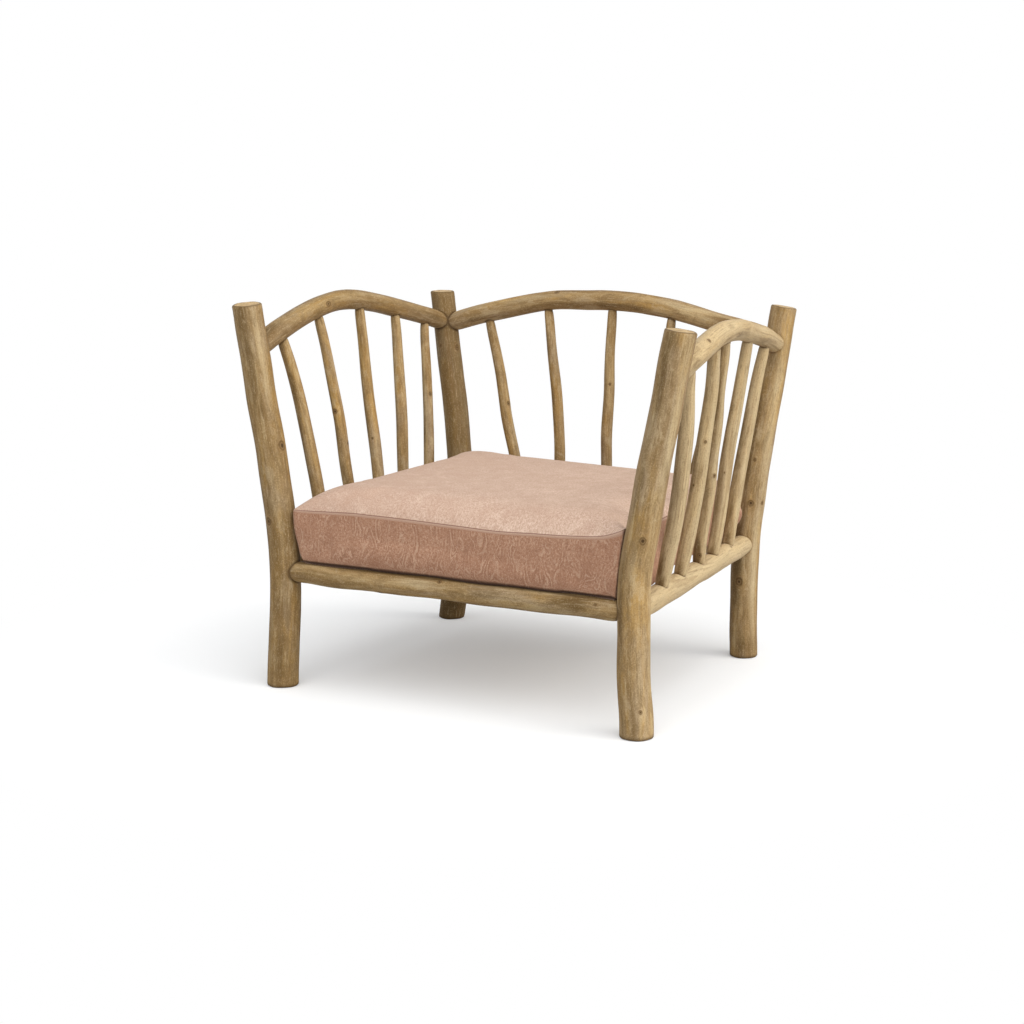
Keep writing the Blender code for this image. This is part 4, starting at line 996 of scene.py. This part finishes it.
def swell(obj, still):
    """Puff the cushion up with cloth under pressure, its underside held, and cap how far points move."""
    hold = obj.vertex_groups.new(name="hold")
    hold.add(still.tolist(), 1.0, "REPLACE")
    cloth = obj.modifiers.new("swell", "CLOTH")
    cloth.settings.vertex_group_mass = "hold"
    cloth.settings.quality = 6
    cloth.settings.mass = 0.25
    cloth.settings.tension_stiffness = 22
    cloth.settings.compression_stiffness = 22
    cloth.settings.shear_stiffness = 12
    cloth.settings.bending_stiffness = 0.4
    cloth.settings.use_pressure = True
    cloth.settings.uniform_pressure_force = 4.0
    cloth.settings.effector_weights.gravity = 0.0
    cloth.collision_settings.use_collision = False
    cloth.point_cache.frame_start = 1
    cloth.point_cache.frame_end = SWELL_FRAMES
    scene = bpy.context.scene
    for number in range(1, SWELL_FRAMES + 1):
        scene.frame_set(number)
    moved = obj.evaluated_get(bpy.context.evaluated_depsgraph_get()).data
    count = len(obj.data.vertices)
    after = np.empty(count * 3, np.float32)
    moved.vertices.foreach_get("co", after)
    obj.modifiers.remove(cloth)
    obj.vertex_groups.clear()
    scene.frame_set(1)
    before = np.empty(count * 3, np.float32)
    obj.data.vertices.foreach_get("co", before)
    step = (after - before).reshape(-1, 3)
    size = np.linalg.norm(step, axis=1)[:, None]
    step *= np.minimum(1, SWELL_CAP / np.maximum(size, 1e-9))
    obj.data.vertices.foreach_set("co", (before.reshape(-1, 3) + step).ravel())
    obj.data.update()


def make_room(co):
    """Press the cushion in wherever a post or a spindle stands against it."""
    for name, log in logs.items():
        if log["slot"] == "rail_wood":
            continue
        low = log["points"].min(0) - 0.06
        high = log["points"].max(0) + 0.06
        near = np.flatnonzero(np.all((co > low) & (co < high), axis=1))
        if not len(near):
            continue
        level = log["points"][:, 2]
        axis = np.stack([np.interp(co[near, 2], level, log["points"][:, k]) for k in range(2)], -1)
        radius = np.interp(co[near, 2], level, log["radii"])
        away = co[near, :2] - axis
        distance = np.linalg.norm(away, axis=1)
        short = np.clip(radius + CUSHION_ROOM - distance, 0, None)
        co[near, :2] += away / np.maximum(distance, 1e-6)[:, None] * short[:, None]


def rest_on_rail(co):
    """Let the front of the underside down onto the front rail."""
    rail = bpy.data.objects["front_seat_rail_log"]
    tree = BVHTree.FromObject(rail, bpy.context.evaluated_depsgraph_get())
    for index in np.flatnonzero((co[:, 2] < CUSHION_BOTTOM + 0.004) & (co[:, 1] < -0.352) & (co[:, 1] > -0.393)):
        x, y, z = (float(value) for value in co[index])
        hit, _, _, _ = tree.ray_cast(Vector((x, y, 0.5)), Vector((0, 0, -1)))
        if hit is not None:
            share = min(1, (-0.352 - y) / 0.014)
            co[index, 2] += share * (min(max(hit.z + 0.001, z - 0.006), z + 0.006) - z)


def make_cushion():
    """The loose cushion, swelled, with its sewn top seam and the closing strip at its back."""
    points, faces, attributes, rim, under_start = cushion_mesh()
    cushion = mesh_piece("seat_cushion", points, faces, attributes)
    cushion.data.materials.append(cover_paint)
    ends = np.empty(len(cushion.data.edges) * 2, np.int32)
    cushion.data.edges.foreach_get("vertices", ends)
    sewn = np.isin(ends.reshape(-1, 2), rim).all(1)
    cushion.data.attributes.new("sharp_edge", "BOOLEAN", "EDGE").data.foreach_set("value", sewn)
    cushion.data.attributes.new("crease_edge", "FLOAT", "EDGE").data.foreach_set("value", 0.8 * sewn)
    swell(cushion, np.arange(under_start, len(points)))
    co = np.empty(len(points) * 3, np.float32)
    cushion.data.vertices.foreach_get("co", co)
    co = co.reshape(-1, 3)
    make_room(co)
    rest_on_rail(co)
    middle = np.array([0.0, -0.05])
    inward = middle - co[rim, :2]
    inward /= np.linalg.norm(inward, axis=1)[:, None]
    co[rim, :2] += inward * SEAM_DEPTH
    co[rim, 2] -= SEAM_DEPTH * 0.5
    cushion.data.vertices.foreach_set("co", co.ravel())
    cushion.data.update()
    finer = cushion.modifiers.new("finer", "SUBSURF")
    finer.levels = 1
    finer.render_levels = 1
    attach(cushion, "cushion")
    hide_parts("cushion_cover", "cushion_foam")
    make_closure(cushion)
    return cushion


def make_closure(cushion):
    """The closing strip, laid on the cushion's back."""
    low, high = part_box("cushion_zip")
    tree = BVHTree.FromObject(cushion, bpy.context.evaluated_depsgraph_get())
    columns, rows = 150, 8
    xs = np.linspace(low.x, high.x, columns + 1)
    half = (high.z - low.z) / 2
    zs = (low.z + high.z) / 2 + np.linspace(-half, half, rows + 1)
    points, tape = [], []
    for z in zs:
        for x in xs:
            hit, _, _, _ = tree.ray_cast(Vector((x, 0.6, z)), Vector((0, -1, 0)))
            lift = 0.0012 * (1 - ((z - zs.mean()) / half) ** 4) * min(1, (x - low.x) / 0.004, (high.x - x) / 0.004)
            points.append((x, hit.y + 0.0002 + max(lift, 0), z))
            tape.append((x, z - zs.mean(), 0.0))
    front = len(points)
    points += [(x, y - 0.0022, z) for x, y, z in points]
    tape += tape
    grid = np.arange(front).reshape(rows + 1, columns + 1)
    cells = np.stack([grid[:-1, :-1], grid[1:, :-1], grid[1:, 1:], grid[:-1, 1:]], -1).reshape(-1, 4)
    walk = np.array([grid[place] for place in edge_walk(columns, rows)])
    skirt = np.stack([walk, np.roll(walk, -1), np.roll(walk, -1) + front, walk + front], -1)
    faces = cells.tolist() + (cells[:, ::-1] + front).tolist() + skirt.tolist()
    closure = mesh_piece("cushion_closure", np.array(points), faces, {"tape": np.array(tape)})
    closure.data.materials.append(zip_paint)
    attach(closure, "cushion")
    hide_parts("cushion_zip")


# Stage


def make_floor():
    """Pale floor that keeps the shadow and fades to the white of the background."""
    size = 30.0
    points = np.array([(-size, -size, -0.0006), (size, -size, -0.0006), (size, size, -0.0006), (-size, size, -0.0006)])
    floor = mesh_piece("floor", points, [(0, 1, 2, 3)])
    material, tree, shader = start_paint("floor_white")
    shader.inputs["Roughness"].default_value = 0.9
    shader.inputs["Specular IOR Level"].default_value = 0.0
    place = put(tree, "TexCoord").outputs["Object"]
    centred = put(tree, "VectorMath", {0: place, 1: (0.1, 0.0, 0.0)}, operation="ADD").outputs[0]
    reach = put(tree, "VectorMath", {0: centred}, operation="LENGTH").outputs["Value"]
    ray = put(tree, "LightPath")
    seen = calc(tree, "ADD", ray.outputs["Is Camera Ray"], ray.outputs["Is Glossy Ray"], clamp=True)
    seen = calc(tree, "ADD", seen, ray.outputs["Is Transmission Ray"], clamp=True)
    share = calc(tree, "MULTIPLY", graded(tree, reach, 0.58, 1.30, 0.24, 1.0), seen)
    tone = mixed(tree, ray.outputs["Is Camera Ray"], (0.50, 0.49, 0.48), (0.93, 0.94, 0.955))
    tree.links.new(tone, shader.inputs["Base Color"])
    white = put(tree, "Emission", {"Color": (1, 1, 1, 1), "Strength": 1.0}).outputs[0]
    made = put(tree, "MixShader", {0: share, 1: shader.outputs[0], 2: white})
    tree.links.new(made.outputs[0], tree.nodes["Material Output"].inputs["Surface"])
    floor.data.materials.append(material)


def make_world():
    """White to the camera, and a soft light on the object, stronger from the front and above."""
    world = bpy.data.worlds.new("studio")
    bpy.context.scene.world = world
    world.use_nodes = True
    tree = world.node_tree
    ray = put(tree, "LightPath")
    seen = calc(tree, "ADD", ray.outputs["Is Camera Ray"], ray.outputs["Is Glossy Ray"], clamp=True)
    seen = calc(tree, "ADD", seen, ray.outputs["Is Transmission Ray"], clamp=True)
    towards = put(tree, "TexCoord").outputs["Generated"]
    front = put(tree, "VectorMath", {0: towards, 1: (0.58, -0.56, 0.59)}, operation="DOT_PRODUCT").outputs["Value"]
    strength = graded(tree, front, -0.4, 1.0, 0.06, 0.78)
    soft = put(tree, "Background", {"Color": (0.96, 0.98, 1.0, 1.0), "Strength": strength}).outputs[0]
    white = put(tree, "Background", {"Color": (1.0, 1.0, 1.0, 1.0), "Strength": 1.0}).outputs[0]
    made = put(tree, "MixShader", {0: seen, 1: soft, 2: white})
    tree.links.new(made.outputs[0], tree.nodes["World Output"].inputs["Surface"])


def lamp(name, towards, spread, strength, colour):
    """A broad even lamp, from the direction that points to it."""
    light = bpy.data.lights.new(name, "SUN")
    light.angle = math.radians(spread)
    light.energy = strength
    light.color = colour
    obj = bpy.data.objects.new(name, light)
    bpy.context.scene.collection.objects.link(obj)
    obj.location = Vector(towards) * 4
    obj.rotation_euler = (-Vector(towards)).to_track_quat("-Z", "Y").to_euler()


def make_camera():
    """The photograph's camera."""
    data = bpy.data.cameras.new("camera")
    data.sensor_width = 36
    data.lens = CAMERA_LENS
    camera = bpy.data.objects.new("camera", data)
    bpy.context.scene.collection.objects.link(camera)
    turn = Matrix.Rotation(CAMERA_YAW, 4, "Z") @ Matrix.Rotation(math.pi / 2 - CAMERA_PITCH, 4, "X")
    camera.matrix_world = Matrix.Translation(CAMERA_PLACE) @ turn
    bpy.context.scene.camera = camera


make_camera()
wood_paint = make_wood()
cover_paint = make_cover()
zip_paint = make_zip()
logs = plan_logs()
for seed, (name, log) in enumerate(logs.items(), start=11):
    make_log(name, log, logs, seed)
slat_wood = make_deck_wood("slat_wood", (42, 1.6, 42))
cleat_wood = make_deck_wood("cleat_wood", (1.6, 42, 42))
for name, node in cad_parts.items():
    if "slat" in name or "cleat" in name:
        node.data.materials.clear()
        node.data.materials.append(slat_wood if "slat" in name else cleat_wood)
make_cushion()
make_floor()
make_world()
lamp("key", (0.46, -0.46, 0.78), 80, 1.80, (1.0, 0.985, 0.95))
lamp("side", (0.93, 0.12, 0.36), 40, 1.35, (1.0, 0.96, 0.88))
lamp("top", (0.0, -0.25, 0.97), 120, 0.85, (1.0, 1.0, 1.0))
bpy.context.scene.view_settings.view_transform = "Standard"
